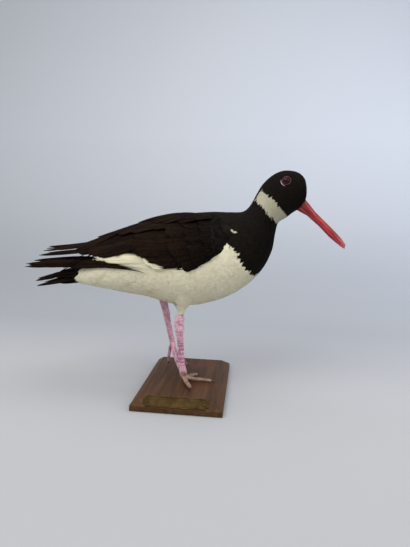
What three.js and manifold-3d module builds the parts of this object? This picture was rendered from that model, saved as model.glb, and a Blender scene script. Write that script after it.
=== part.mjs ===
// A mounted oystercatcher: a life-size wader standing on a bevelled wooden plinth with a small brass plate.
// Millimetres, +Z up, +X towards the bill, +Y towards the bird's left.
// The origin is the middle of the plinth's underside.
import * as THREE from "three";
import { mergeVertices } from "three/addons/utils/BufferGeometryUtils.js";
import Module from "manifold-3d";

const wasm = await Module();
wasm.setup();

// Driving dimensions of the mount.
const PLINTH_WIDTH = 102;
const PLINTH_DEPTH = 150;
const PLINTH_HEIGHT = 14;
const PLINTH_SIDE = 6;
const BEVEL_RUN = 12; // at the front and the back
const BEVEL_LEFT = 9.5; // under the tail
const BEVEL_RIGHT = 10.5; // under the bill
const PLATE_LENGTH = 72;
const PLATE_HEIGHT = 13.2;
const PLATE_THICK = 0.8;
const PLATE_NOTCH = 3;
const PIN_RADIUS = 2.6;

// Driving dimensions of the bird.
const BIRD_Y = 5; // the bird's middle plane
const GAP = 0.3; // what neighbouring nodes keep between them
const VANE_THICK = 0.6;
const VANE_STEP = 0.96; // rise from one feather of a row to the next that it overlaps
const VANE_OVERLAP = 1.5; // width of a feather over the spacing of its row
const TAIL_FEATHERS = 10;
const BILL_GAP = 0.35;
const EYE_RADIUS = 4.9;
const EYE_RING = 1.0;
const EYE_AT = [110.9, 253.3];
const TARSUS_RADIUS = 2.5;
const SHANK_FLAT = 1.42; // how much longer a shank's section is fore and aft than across
const ANKLE_RADIUS = 4;
const TOE_RADIUS = 2.8;
const TOE_FLAT = 0.82;

// Outline of head, neck and trunk, rump to forehead: back point, belly point (x, z), half width.
const SECTIONS = [
  [-142, 143, -149, 128, 9],
  [-124, 153, -132, 124, 17],
  [-104, 166, -112, 121, 24],
  [-79, 180, -81, 116.5, 31],
  [-54, 196, -48, 112, 38],
  [-26, 208, -15, 104.3, 43],
  [0.5, 214.5, 15, 105.6, 46],
  [27, 217, 44, 115, 46],
  [48, 217, 69, 130, 41.5],
  [62, 217.6, 88.5, 151, 34.5],
  [69, 222, 98.7, 172.8, 27.5],
  [74.6, 230.6, 101.8, 193, 22.5],
  [79, 239.4, 104.7, 205.9, 19],
  [85.4, 250.3, 113.6, 212.5, 17],
  [96.4, 260.6, 121, 218.5, 16.2],
  [108.6, 265.6, 127, 222.3, 15.6],
  [122.3, 264.6, 130.6, 225.2, 13.4],
  [131, 258.9, 133.2, 227.5, 10.4],
  [135.5, 249.5, 134.8, 229.5, 6.6],
];
const NOSE = [136.5, 240];

// The surface that the folded wing's feathers start from, over the trunk and out past the tail.
const CLOAK = [
  [-222, 160, -222, 134, 9],
  [-178, 167, -180, 132, 12],
  [-145, 173, -150, 128, 16.5],
  [-119, 180, -125, 119, 22.5],
  [-98, 187, -103, 116, 28],
  [-78, 194, -80, 114, 34],
  [-54, 202, -48, 111, 39.5],
  [-26, 209.5, -15, 104, 44],
  [0.5, 215.5, 15, 105, 46.6],
  [27, 218, 44, 114, 46.4],
  [48, 218, 69, 129, 42],
  [62, 218.6, 90, 150, 35],
];

// Rows of wing feathers, seen from the side: roots and tips (x, z) of the row's uppermost and lowest
// feather with others between them, how many there are, how far they lift off at root and tip, how far
// they arch upwards, in radians round the wing, and the half width that none of them passes.
const WING_ROWS = {
  primaries: {
    roots: [[-66, 172], [-60, 165], [-54, 159], [-48, 154], [-43, 149.5]],
    tips: [[-160, 162], [-176, 159.5], [-186, 156.5], [-199, 149.5], [-204, 146.5]],
    count: 7,
    lift: [-2, 0.9],
    bow: -0.22,
    widest: 3.6,
  },
  secondaries: {
    roots: [[-34, 188], [-28, 172], [-20, 160]],
    tips: [[-120, 169], [-108, 162], [-90, 158]],
    count: 6,
    lift: [-2.4, 3.2],
    bow: 0,
    widest: 5,
  },
  tertials: {
    roots: [[-34, 205], [-28, 197], [-20, 186]],
    tips: [[-143, 166], [-130, 167], [-106, 163]],
    count: 5,
    lift: [-2.6, 4.2],
    bow: 0,
    widest: 7,
  },
  greater_coverts: {
    roots: [[4, 194], [10, 176], [16, 161]],
    tips: [[-58, 184], [-50, 166], [-32, 155]],
    count: 7,
    lift: [-3.2, 3.8],
    bow: 0,
    widest: 6,
  },
  median_coverts: {
    roots: [[26, 202], [31, 184], [33, 168]],
    tips: [[-22, 194], [-14, 172], [2, 154]],
    count: 7,
    lift: [-3.2, 3.8],
    bow: 0,
    widest: 6,
  },
  lesser_coverts: {
    roots: [[44, 206], [48, 196], [48, 184]],
    tips: [[6, 203], [12, 182], [24, 163]],
    count: 6,
    lift: [-3, 3.4],
    bow: 0,
    widest: 6,
  },
  scapulars: {
    roots: [[-18, 210], [16, 211], [40, 208]],
    tips: [[-104, 184], [-66, 189], [-24, 198]],
    count: 6,
    lift: [-2.6, 5.6],
    bow: 0,
    widest: 6,
  },
};
const TIP_RISE = { right: 0, left: 7 }; // the far wing's tip is carried a little higher

const material = (color, roughness, metalness = 0) =>
  new THREE.MeshStandardMaterial({ color, roughness, metalness });
const MATERIALS = {
  black: material(0x15130f, 0.75),
  brown: material(0x241a16, 0.75),
  white: material(0xe6e0cc, 0.85),
  bill: material(0xc3332b, 0.4),
  leg: material(0xd98bab, 0.5),
  claw: material(0x2b2018, 0.5),
  eye: material(0x5a0d14, 0.08),
  wood: material(0x5b4334, 0.6),
  brass: material(0x8a7344, 0.4, 0.8),
};

const vec = (x, y, z) => new THREE.Vector3(x, y, z);

// A closed solid from loose vertices and triangles, turned to face out.
function solidFrom(points, triangles) {
  const position = new Float32Array(points.length * 3);
  points.forEach((p, i) => position.set([p.x, p.y, p.z], i * 3));
  const geometry = new THREE.BufferGeometry()
    .setAttribute("position", new THREE.BufferAttribute(position, 3))
    .setIndex(triangles);
  return solidOf(geometry);
}

function solidOf(geometry) {
  const bare = geometry.clone();
  bare.deleteAttribute("normal");
  bare.deleteAttribute("uv");
  const merged = mergeVertices(bare, 1e-4);
  const vertProperties = new Float32Array(merged.attributes.position.array);
  const triVerts = new Uint32Array(merged.index.array);
  const made = new wasm.Manifold(new wasm.Mesh({ numProp: 3, vertProperties, triVerts }));
  if (made.volume() > 0) return made;
  for (let i = 0; i < triVerts.length; i += 3) {
    [triVerts[i + 1], triVerts[i + 2]] = [triVerts[i + 2], triVerts[i + 1]];
  }
  return new wasm.Manifold(new wasm.Mesh({ numProp: 3, vertProperties, triVerts }));
}

// The largest closed surface of a solid, with any hollow inside it filled.
function largest(solid) {
  return solid.decompose().reduce((a, b) => (b.volume() > a.volume() ? b : a));
}

function join(solids) {
  return solids.reduce((a, b) => a.add(b));
}

const group = new THREE.Group();
const made = {};

function addNode(name, solid, finish) {
  const kept = largest(solid);
  const mesh = kept.getMesh();
  const position = new Float32Array(mesh.numVert * 3);
  for (let i = 0; i < mesh.numVert; i++) {
    const at = i * mesh.numProp;
    position.set(mesh.vertProperties.subarray(at, at + 3), i * 3);
  }
  const geometry = new THREE.BufferGeometry()
    .setAttribute("position", new THREE.BufferAttribute(position, 3))
    .setIndex(new THREE.BufferAttribute(new Uint32Array(mesh.triVerts), 1));
  const shown = new THREE.Mesh(geometry, MATERIALS[finish]);
  shown.name = name;
  group.add(shown);
  made[name] = kept;
}

// A tube through closed rings of equally many points, ended by a point at each end.
function loft(rings, startPoint, endPoint) {
  const count = rings[0].length;
  const points = rings.flat();
  const triangles = [];
  for (let i = 0; i + 1 < rings.length; i++) {
    for (let j = 0; j < count; j++) {
      const a = i * count + j;
      const b = i * count + ((j + 1) % count);
      triangles.push(a, b, b + count, a, b + count, a + count);
    }
  }
  const first = points.push(startPoint) - 1;
  const last = points.push(endPoint) - 1;
  const top = (rings.length - 1) * count;
  for (let j = 0; j < count; j++) {
    const next = (j + 1) % count;
    triangles.push(first, next, j, last, top + j, top + next);
  }
  return solidFrom(points, triangles);
}

// Smooth values between the rows of a table, one spline for each column pair.
function tableSpline(rows) {
  const curve = (pick) =>
    new THREE.CatmullRomCurve3(rows.map((r, i) => vec(...pick(r, i))), false, "catmullrom", 0.5);
  const back = curve((r) => [r[0], 0, r[1]]);
  const belly = curve((r) => [r[2], 0, r[3]]);
  const width = curve((r, i) => [i, r[4], 0]);
  return (u) => ({ back: back.getPoint(u), belly: belly.getPoint(u), width: width.getPoint(u).y });
}

// A closed skin through cross sections that lie between back and belly points, grown outwards by grow.
function skinOf(table, ringCount, sides, grow, nosePoint) {
  const at = tableSpline(table);
  const rings = [];
  for (let k = 0; k <= ringCount; k++) {
    const { back, belly, width } = at(k / ringCount);
    const middle = back.clone().add(belly).multiplyScalar(0.5);
    const up = back.clone().sub(belly).multiplyScalar(0.5);
    up.multiplyScalar(1 + grow / up.length());
    const ring = [];
    for (let j = 0; j < sides; j++) {
      const turn = (2 * Math.PI * j) / sides;
      const p = middle.clone().addScaledVector(up, Math.cos(turn));
      p.y = BIRD_Y + Math.sin(turn) * (width + grow);
      ring.push(p);
    }
    rings.push(ring);
  }
  const centre = (ring) =>
    ring.reduce((sum, p) => sum.add(p), vec(0, 0, 0)).multiplyScalar(1 / ring.length);
  const tailEnd = centre(rings[0]);
  tailEnd.x -= 1.5 + grow;
  const noseEnd = nosePoint ? vec(nosePoint[0] + grow, BIRD_Y, nosePoint[1]) : centre(rings.at(-1));
  return loft(rings, tailEnd, noseEnd);
}

const BODY_RINGS = 40;
const BODY_SIDES = 22;
const bodySkin = (grow = 0) => skinOf(SECTIONS, BODY_RINGS, BODY_SIDES, grow, NOSE);

// The place on the wing's surface seen from the side at (x, z), as length along it and turn round it.
const cloakAt = tableSpline(CLOAK);
const TOP_SHARE = 0.955; // how near the ridge of the back a feather's middle may lie
function cloakPlace(x, z) {
  let low = 0;
  let high = 1;
  for (let i = 0; i < 40; i++) {
    const u = (low + high) / 2;
    const { back, belly } = cloakAt(u);
    const beyond = (belly.x - back.x) * (z - back.z) - (belly.z - back.z) * (x - back.x);
    if (beyond > 0) low = u;
    else high = u;
  }
  const { back, belly } = cloakAt(low);
  const half = back.clone().sub(belly).multiplyScalar(0.5);
  const off = vec(x, 0, z).sub(back.clone().add(belly).multiplyScalar(0.5));
  const share = Math.max(-0.99, Math.min(TOP_SHARE, off.dot(half) / half.lengthSq()));
  return { u: low, turn: Math.acos(share) };
}

function cloakPoint({ u, turn }, lift, side, rise = 0) {
  const { back, belly, width } = cloakAt(Math.max(0, Math.min(1, u)));
  const half = back.clone().sub(belly).multiplyScalar(0.5);
  const p = back.clone().add(belly).multiplyScalar(0.5);
  p.addScaledVector(half, Math.cos(turn) * (1 + lift / half.length()));
  p.y = BIRD_Y + side * Math.sin(turn) * (width + lift);
  p.z += rise;
  return p;
}

// One row of feathers that overlap like tiles: each lies over the next lower one, joined at the root only.
const VANE_STOPS = [[0, 0.5], [0.25, 0.9], [0.58, 1], [0.83, 0.86], [0.96, 0.5], [1, 0.15]];
function vaneRow({ roots, tips, count, lift, bow, widest }, side, tipRise) {
  const line = (points) =>
    new THREE.CatmullRomCurve3(points.map(([x, z]) => vec(x, 0, z)), false, "catmullrom", 0.5);
  const [rootLine, tipLine] = [line(roots), line(tips)];
  const middles = Array.from({ length: count }, (_, k) => {
    const [root, tip] = [rootLine, tipLine].map((l) => l.getPoint(k / (count - 1)));
    const [from, to] = [cloakPlace(root.x, root.z), cloakPlace(tip.x, tip.z)];
    return VANE_STOPS.map(([v]) => ({
      u: from.u + (to.u - from.u) * v,
      turn: from.turn + (to.turn - from.turn) * v + bow * Math.sin(Math.PI * v),
    }));
  });
  const rise = (place) => tipRise * Math.max(0, 1 - place.u / 0.4) ** 1.3;
  const vanes = middles.map((places, k) => {
    const rows = places.map((place, i) => {
      const [v, share] = VANE_STOPS[i];
      const other = middles[k + 1 < count ? k + 1 : k - 1][i];
      const here = cloakPoint(place, 0, side);
      const spacing = here.distanceTo(cloakPoint(other, 0, side));
      const perTurn = here.distanceTo(cloakPoint({ u: place.u, turn: place.turn + 0.02 }, 0, side)) / 0.02;
      const half = Math.min(VANE_OVERLAP * spacing, 2 * widest) * (share / 2);
      const base = lift[0] + (lift[1] - lift[0]) * v;
      const edge = (way) =>
        (at) => cloakPoint(
          { u: place.u, turn: place.turn + (way * half) / perTurn },
          base + (way * half * VANE_STEP) / spacing + at,
          side,
          rise(place),
        );
      return [edge(-1), edge(1)];
    });
    return vaneSolid(rows);
  });
  return join(vanes);
}

// A feather: two faces through rows of two edge points, split into triangles alike.
function vaneSolid(rows) {
  const points = rows.flatMap(([a, b]) => [a(0), b(0), a(-VANE_THICK), b(-VANE_THICK)]);
  const triangles = [];
  for (let i = 0; i + 1 < rows.length; i++) {
    const [a, b, c, d] = [4 * i, 4 * i + 1, 4 * i + 4, 4 * i + 5];
    triangles.push(a, b, d, a, d, c);
    triangles.push(a + 2, d + 2, b + 2, a + 2, c + 2, d + 2);
    triangles.push(a, c, c + 2, a, c + 2, a + 2);
    triangles.push(b, b + 2, d + 2, b, d + 2, d);
  }
  const e = 4 * (rows.length - 1);
  triangles.push(0, 2, 3, 0, 3, 1, e, e + 1, e + 3, e, e + 3, e + 2);
  return solidFrom(points, triangles);
}

// Half space slabs that part the skin: each is a thin sheet through two points seen from the side.
function sheet([x0, z0], [x1, z1], thick, reach = 120) {
  const along = vec(x1 - x0, 0, z1 - z0).normalize();
  const across = vec(along.z, 0, -along.x);
  const from = vec(x0, BIRD_Y, z0).addScaledVector(along, -reach);
  const to = vec(x1, BIRD_Y, z1).addScaledVector(along, reach);
  const ring = (p) =>
    [[-1, -1], [1, -1], [1, 1], [-1, 1]].map(([a, b]) =>
      p.clone().addScaledVector(across, (a * thick) / 2).add(vec(0, b * reach, 0)),
    );
  return loft([ring(from), ring(to)], from, to);
}

// Plinth: a wooden block with a flat top and four bevelled sides.
function plinthBlock() {
  const ring = (x0, x1, half, at) => [
    vec(x0, -half, at),
    vec(x1, -half, at),
    vec(x1, half, at),
    vec(x0, half, at),
  ];
  const [hx, hy] = [PLINTH_WIDTH / 2, PLINTH_DEPTH / 2];
  const rings = [
    ring(-hx, hx, hy, 0),
    ring(-hx, hx, hy, PLINTH_SIDE),
    ring(-hx + BEVEL_LEFT, hx - BEVEL_RIGHT, hy - BEVEL_RUN, PLINTH_HEIGHT),
  ];
  return loft(rings, vec(0, 0, 0), vec(0, 0, PLINTH_HEIGHT));
}

function addPlinth() {
  addNode("base_plinth", plinthBlock(), "wood");
  const rise = PLINTH_HEIGHT - PLINTH_SIDE;
  const tilt = Math.atan2(rise, BEVEL_RUN);
  const outline = new THREE.Shape();
  const [hx, hy, n] = [PLATE_LENGTH / 2, PLATE_HEIGHT / 2, PLATE_NOTCH];
  outline.moveTo(-hx + n, -hy);
  outline.lineTo(hx - n, -hy);
  outline.absarc(hx, -hy, n, Math.PI, Math.PI / 2, true);
  outline.lineTo(hx, hy - n);
  outline.absarc(hx, hy, n, -Math.PI / 2, -Math.PI, true);
  outline.lineTo(-hx + n, hy);
  outline.absarc(-hx, hy, n, 0, -Math.PI / 2, true);
  outline.lineTo(-hx, -hy + n);
  outline.absarc(-hx, -hy, n, Math.PI / 2, 0, true);
  const extrude = { depth: PLATE_THICK, bevelEnabled: false, curveSegments: 4 };
  const brass = new THREE.ExtrudeGeometry(outline, extrude);
  const onBevel = (geometry, x, lift) => {
    const out = vec(0, -Math.sin(tilt), Math.cos(tilt));
    const middle = vec(x, -(PLINTH_DEPTH - BEVEL_RUN) / 2, (PLINTH_HEIGHT + PLINTH_SIDE) / 2);
    geometry.rotateX(tilt);
    middle.addScaledVector(out, lift);
    return solidOf(geometry.translate(middle.x, middle.y, middle.z));
  };
  const plateSolid = onBevel(brass, -0.8, GAP);
  addNode("plaque", plateSolid, "brass");
  for (const [name, at] of [["plaque_pin_left", -1], ["plaque_pin_right", 1]]) {
    const pin = new THREE.LatheGeometry(
      [new THREE.Vector2(0, 0), new THREE.Vector2(PIN_RADIUS, 0), new THREE.Vector2(PIN_RADIUS * 0.8, 0.5),
        new THREE.Vector2(0, 0.8)],
      12,
    );
    pin.rotateX(Math.PI / 2);
    addNode(name, onBevel(pin, at * (PLATE_LENGTH / 2 - 4.4) - 0.8, PLATE_THICK + 2 * GAP), "brass");
  }
}

// A round bar through points with a radius at each, closed by a blunt point at both ends.
function bar(stops, sides = 8) {
  const whole = stops.at(-1).at.clone().sub(stops[0].at).normalize();
  const guide = Math.abs(whole.z) > 0.9 ? vec(1, 0, 0) : vec(0, 0, 1);
  const rings = stops.map(({ at, radius, flat = 1 }, i) => {
    const before = stops[Math.max(0, i - 1)].at;
    const after = stops[Math.min(stops.length - 1, i + 1)].at;
    const along = after.clone().sub(before).normalize();
    const across = guide.clone().cross(along).normalize();
    const up = along.clone().cross(across);
    return Array.from({ length: sides }, (_, j) => {
      const turn = (2 * Math.PI * (j + 0.5)) / sides;
      return at
        .clone()
        .addScaledVector(across, Math.cos(turn) * radius)
        .addScaledVector(up, Math.sin(turn) * radius * flat);
    });
  });
  return loft(rings, stops[0].at.clone(), stops.at(-1).at.clone());
}

const HEAD_CUT = [[84, 252], [114, 211]];
const NECK_CUT = [[64, 219.5], [98, 166]];
const TAIL_CUT = [[-108, 168], [-116, 118]];

function eyeCentre(side, out) {
  return vec(EYE_AT[0], BIRD_Y + side * out, EYE_AT[1]);
}
const EYE_DEPTH = 11.2;
const NOSTRIL = { at: [146.5, 217.2], way: [0.78, -0.66], length: 8, height: 1.3, depth: 1.4 };
const GAPE = { from: [122.5, 226.6], to: [138, 217.8], width: 0.7 };

function ball(radius, at, rows = 8, columns = 12) {
  const geometry = new THREE.SphereGeometry(radius, columns, rows);
  return solidOf(geometry.rotateX(Math.PI / 2).translate(at.x, at.y, at.z));
}

// Bill: upper and lower halves as flattened bars along the bill's own curve, parted by the mouth's line.
const BILL_TOP = [
  [124, 239], [136.1, 232.3], [145.8, 220.3], [159.6, 207.5], [169.6, 198.2], [178.7, 188.9], [183, 183.2],
];
const BILL_MOUTH = [
  [121, 229], [131.5, 223.6], [141, 214.5], [155, 201], [166, 190.6], [177, 180.6], [182, 178.2],
];
const BILL_LOW = [
  [117, 226], [129, 219.5], [137.3, 215.3], [151.5, 203.5], [163.5, 191.6], [176.5, 181], [181.5, 177.6],
];

addPlinth();
const billHalfWidth = [6.2, 5, 4, 3.2, 2.7, 2.2, 1.4];
function billHalf(over, under, lift) {
  const rings = over.map(([x, z], i) => {
    const [ux, uz] = under[i];
    const w = billHalfWidth[i];
    const a = vec(x, BIRD_Y, z);
    const b = vec(ux, BIRD_Y, uz);
    const back = b.clone().sub(a).normalize();
    const m = a.clone().lerp(b, 0.45);
    const low = b.clone().addScaledVector(back, -lift);
    const side = (p, y) => p.clone().add(vec(0, y, 0));
    return [
      side(a, 0.45 * w),
      side(m, w),
      side(low, w * 0.9),
      side(low, -w * 0.9),
      side(m, -w),
      side(a, -0.45 * w),
    ];
  });
  const ends = [rings[0], rings.at(-1)].map((ring) =>
    ring.reduce((s, p) => s.add(p), vec(0, 0, 0)).multiplyScalar(1 / ring.length),
  );
  return loft(rings, ends[0], ends[1]);
}

const skin = bodySkin();
const grown = bodySkin(GAP);

function addHeadAndTrunk() {
  let rest = skin.subtract(sheet(...HEAD_CUT, GAP));
  rest = rest.subtract(sheet(...NECK_CUT, GAP)).subtract(sheet(...TAIL_CUT, GAP));
  const parts = rest.decompose().sort((a, b) => {
    const middle = (s) => s.boundingBox().min[0] + s.boundingBox().max[0];
    return middle(a) - middle(b);
  });
  if (parts.length !== 4) throw new Error(`the cuts left ${parts.length} pieces of the skin`);
  return { tail: parts[0], torso: parts[1], neck: parts[2], head: parts[3] };
}

const trunk = addHeadAndTrunk();
let head = trunk.head;
for (const [name, side] of [["right", -1], ["left", 1]]) {
  const at = eyeCentre(side, EYE_DEPTH);
  const ring = new THREE.TorusGeometry(EYE_RADIUS + 0.1, EYE_RING, 6, 18);
  const rim = solidOf(ring.rotateX(Math.PI / 2).translate(at.x, BIRD_Y + side * (EYE_DEPTH + 3), at.z));
  head = head.add(rim).subtract(ball(EYE_RADIUS + GAP, at));
  addNode(`eye_${name}`, ball(EYE_RADIUS, at), "eye");
}
const slit = sheet(GAPE.from, GAPE.to, GAPE.width);
const mouthBox = new THREE.BoxGeometry(60, 60, 60).translate(GAPE.from[0] + 30, BIRD_Y, 220);
head = head.subtract(slit.intersect(solidOf(mouthBox)));
let upper = billHalf(BILL_TOP, BILL_MOUTH, BILL_GAP / 2);
for (const side of [-1, 1]) {
  const pit = new THREE.SphereGeometry(1, 10, 6);
  pit.scale(NOSTRIL.length / 2, NOSTRIL.depth, NOSTRIL.height / 2);
  pit.rotateY(Math.atan2(-NOSTRIL.way[1], NOSTRIL.way[0]));
  upper = upper.subtract(solidOf(pit.translate(NOSTRIL.at[0], BIRD_Y + side * 3.7, NOSTRIL.at[1])));
}
const lower = billHalf(BILL_LOW, BILL_MOUTH, BILL_GAP / 2);
addNode("head", head, "black");
addNode("neck", trunk.neck, "white");
addNode("torso", trunk.torso, "white");
addNode("bill_upper", upper.subtract(grown), "bill");
addNode("bill_lower", lower.subtract(grown).subtract(upper), "bill");

// Wings: a bed that lies on the trunk, with the feathers rooted in it row by row.
const BED = [
  [[-108, 180], [-112, 164], [-108, 155]],
  [[-80, 191], [-88, 172], [-84, 154]],
  [[-40, 206], [-44, 178], [-40, 148]],
  [[-5, 214], [-4, 182], [2, 150]],
  [[26, 216], [30, 187], [26, 157]],
  [[46, 213], [51, 197], [47, 184]],
];
function wingBed(side, tipRise) {
  const across = 8;
  const lines = BED.map((row) => new THREE.CatmullRomCurve3(row.map(([x, z]) => vec(x, 0, z))));
  const steps = 14;
  const rings = [];
  for (let i = 0; i <= steps; i++) {
    const outer = [];
    const inner = [];
    for (let j = 0; j <= across; j++) {
      const along = new THREE.CatmullRomCurve3(lines.map((l) => l.getPoint(j / across)));
      const p = along.getPoint(i / steps);
      const place = cloakPlace(p.x, p.z);
      const rise = tipRise * Math.max(0, 1 - place.u / 0.4) ** 1.3;
      const edge = Math.min(i, steps - i) === 0 || j === 0 || j === across;
      outer.push(cloakPoint(place, edge ? -1.6 : 0, side, rise));
      inner.push(cloakPoint(place, edge ? -2.4 : -5, side, rise));
    }
    rings.push([...outer, ...inner.reverse()]);
  }
  const centre = (ring) =>
    ring.reduce((sum, p) => sum.add(p), vec(0, 0, 0)).multiplyScalar(1 / ring.length);
  return loft(rings, centre(rings[0]), centre(rings.at(-1)));
}

for (const [name, side] of [["right", -1], ["left", 1]]) {
  const rows = Object.values(WING_ROWS).map((row) => vaneRow(row, side, TIP_RISE[name]));
  const wing = join([wingBed(side, TIP_RISE[name]), ...rows]);
  addNode(`wing_${name}`, wing.subtract(grown), "brown");
}

// Tail: a fan of feathers that overlap from the middle outwards, each pair lower, rooted in the rump.
const TAIL_ROOT = [-116, 140];
const TAIL_TIP = [-192, 127.5];
const TAIL_HALF_WIDTH = 16;
const TAIL_DROP = 1.5; // from one pair to the next
function tailFan() {
  const feathers = [];
  const pairs = TAIL_FEATHERS / 2;
  for (const side of [-1, 1]) {
    for (let k = 0; k < pairs; k++) {
      const spread = (k + 0.5) / pairs;
      const from = vec(TAIL_ROOT[0], BIRD_Y + side * 5.5 * spread, TAIL_ROOT[1]);
      const to = vec(
        TAIL_TIP[0] + 6 * spread * spread,
        BIRD_Y + side * TAIL_HALF_WIDTH * spread,
        TAIL_TIP[1],
      );
      const rows = VANE_STOPS.map(([v, share]) => {
        const p = from.clone().lerp(to, v);
        p.z -= TAIL_DROP * k * (1 - 0.3 * v);
        const wide = (3.6 + 2.2 * v) * (v > 0.9 ? share + 0.12 : 1) * (v < 0.1 ? 0.6 : 1);
        const edge = (way) => (at) => p.clone().add(vec(0, way * wide, at - way * wide * side * 0.12));
        return [edge(-1), edge(1)];
      });
      feathers.push(vaneSolid(rows));
    }
  }
  return join(feathers);
}
addNode("tail", trunk.tail.add(tailFan()), "black");

// Legs: the right one upright and flat on the plinth, the left one raised on its toes.
function slab(z, way) {
  const box = new THREE.BoxGeometry(400, 400, 200);
  return solidOf(box.translate(0, 0, z + way * 100));
}

function toe(points, radius) {
  const last = points.length - 1;
  const flat = TOE_FLAT;
  const station = ([x, y, z], i) => ({ at: vec(x, y, z), radius: radius * (1 - (0.34 * i) / last), flat });
  return bar(points.map(station));
}

function addClaw(name, points, tip) {
  const end = vec(...points.at(-1));
  const way = vec(...tip).sub(end);
  const from = end.clone().addScaledVector(way, (GAP + 0.1) / way.length());
  const middle = end.clone().addScaledVector(way, 0.55);
  middle.z += 0.35;
  const solid = bar(
    [
      { at: from, radius: 1.2 },
      { at: middle, radius: 0.95 },
      { at: vec(...tip), radius: 0.35 },
    ],
    6,
  );
  addNode(name, solid, "claw");
}

const RIGHT_TOES = {
  outer: [[0, -18, 19.6], [4, -26, 17.1], [7.8, -34, 16.9], [11.2, -41.2, 16.3]],
  middle: [[0, -17, 19.6], [11, -16.9, 17.2], [22, -16.8, 16.9], [33, -16.7, 16.3]],
  inner: [[0, -16, 19.6], [5, -9.6, 17.1], [9.6, -4, 16.9], [13.4, 0.6, 16.3]],
};
const RIGHT_TIPS = { outer: [13.2, -45.6, 15], middle: [37.8, -16.6, 15], inner: [16.4, 3.6, 15] };
const LEFT_TOES = {
  outer: [[-23, 28, 47.5], [-26.5, 30, 38], [-28.3, 32, 28], [-28.8, 32.8, 19.6]],
  middle: [[-22.5, 28, 47.5], [-19.6, 28.6, 36], [-12.5, 29.4, 25], [-3.4, 29.4, 17.6]],
  inner: [[-22.5, 27, 47.5], [-19.8, 20.5, 38], [-15, 14.5, 27.5], [-10, 9.5, 18.6]],
};
const LEFT_TIPS = { outer: [-28.4, 33.4, 15.2], middle: [1, 29.2, 15.4], inner: [-8, 7, 15.2] };
const RIGHT_CUT = 22.6;
const LEFT_CUT = 49.5;

function addLeg(side, stops, toes, tips, cut, finish) {
  const shank = bar(stops.map(([x, y, z, radius, flat]) => ({ at: vec(x, y, z), radius, flat })), 12);
  addNode(`leg_${side}`, shank.subtract(grown).subtract(slab(cut + GAP / 2, -1)), finish);
  const foot = join([shank, ...Object.values(toes).map((points) => toe(points, TOE_RADIUS))]);
  addNode(`foot_${side}`, foot.subtract(slab(cut - GAP / 2, 1)), finish);
  for (const which of Object.keys(toes)) addClaw(`claw_${side}_${which}`, toes[which], tips[which]);
}

const THIGH = [
  [-1, -15, 124, 15],
  [-2.6, -17, 112, 9.5],
  [-4.2, -18, 103, 5.4],
  [-5, -18, 97, 3.5],
];
const thigh = bar(THIGH.map(([x, y, z, radius]) => ({ at: vec(x, y, z), radius })), 12);
addNode("thigh_right", thigh.subtract(grown), "white");
addLeg(
  "right",
  [
    [-5, -18, 96.7, 3, 1],
    [-6.3, -18, 91.5, ANKLE_RADIUS, 1.15],
    [-6.8, -18, 84, 3.7, 1.3],
    [-6.4, -18, 77, ANKLE_RADIUS, 1.2],
    [-5.6, -18, 70, 2.7, SHANK_FLAT],
    [-4.6, -18, 58, TARSUS_RADIUS, SHANK_FLAT],
    [-3, -17.6, 36, TARSUS_RADIUS, SHANK_FLAT],
    [-1.4, -17.2, 27, 3.5, 1.2],
    [-0.4, -17, 19.6, 3.7, 1.1],
  ],
  RIGHT_TOES,
  RIGHT_TIPS,
  RIGHT_CUT,
  "leg",
);
addLeg(
  "left",
  [
    [-37.4, 26, 112, 3.8, 1.1],
    [-35.3, 26.6, 102, ANKLE_RADIUS, 1.2],
    [-32, 27, 90, 3.3, 1.25],
    [-29, 27, 74, TARSUS_RADIUS, SHANK_FLAT],
    [-25, 27.6, 56, TARSUS_RADIUS, 1.3],
    [-22.8, 28, 46, 3.3, 1],
  ],
  LEFT_TOES,
  LEFT_TIPS,
  LEFT_CUT,
  "leg",
);

export default group;
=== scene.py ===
"""A museum mount of an oystercatcher: the looks of the bird, its plinth and the studio it is shown in."""

import math

import bpy
import numpy as np
from bpy.props import FloatProperty, FloatVectorProperty, PointerProperty
from mathutils import Matrix, Vector
from mathutils.bvhtree import BVHTree


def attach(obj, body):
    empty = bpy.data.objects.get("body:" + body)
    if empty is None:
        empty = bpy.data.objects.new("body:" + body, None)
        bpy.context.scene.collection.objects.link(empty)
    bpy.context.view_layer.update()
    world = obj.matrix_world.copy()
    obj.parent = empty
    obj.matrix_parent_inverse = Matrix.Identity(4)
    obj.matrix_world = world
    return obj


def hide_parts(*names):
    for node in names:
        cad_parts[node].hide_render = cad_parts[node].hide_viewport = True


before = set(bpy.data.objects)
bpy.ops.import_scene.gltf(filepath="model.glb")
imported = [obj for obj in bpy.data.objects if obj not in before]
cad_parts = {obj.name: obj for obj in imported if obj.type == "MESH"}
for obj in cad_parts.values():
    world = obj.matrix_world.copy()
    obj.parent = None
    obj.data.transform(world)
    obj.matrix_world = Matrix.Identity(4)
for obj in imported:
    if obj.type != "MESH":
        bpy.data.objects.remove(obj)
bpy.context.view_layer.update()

bl_info = {
    "name": "Mounted oystercatcher",
    "version": (1, 0, 0),
    "blender": (4, 5, 0),
    "location": "3D View > Sidebar > Mount",
    "description": "Models the feathers, bill, eyes, legs, plinth and studio of a mounted oystercatcher",
    "category": "Object",
}

# Sizes and places are in mm, with x towards the bill, y towards the bird's left and z up.
MM = 0.001
BIRD_Y = 5.0  # the bird's middle plane
SIDES = {"right": -1, "left": 1}

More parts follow.
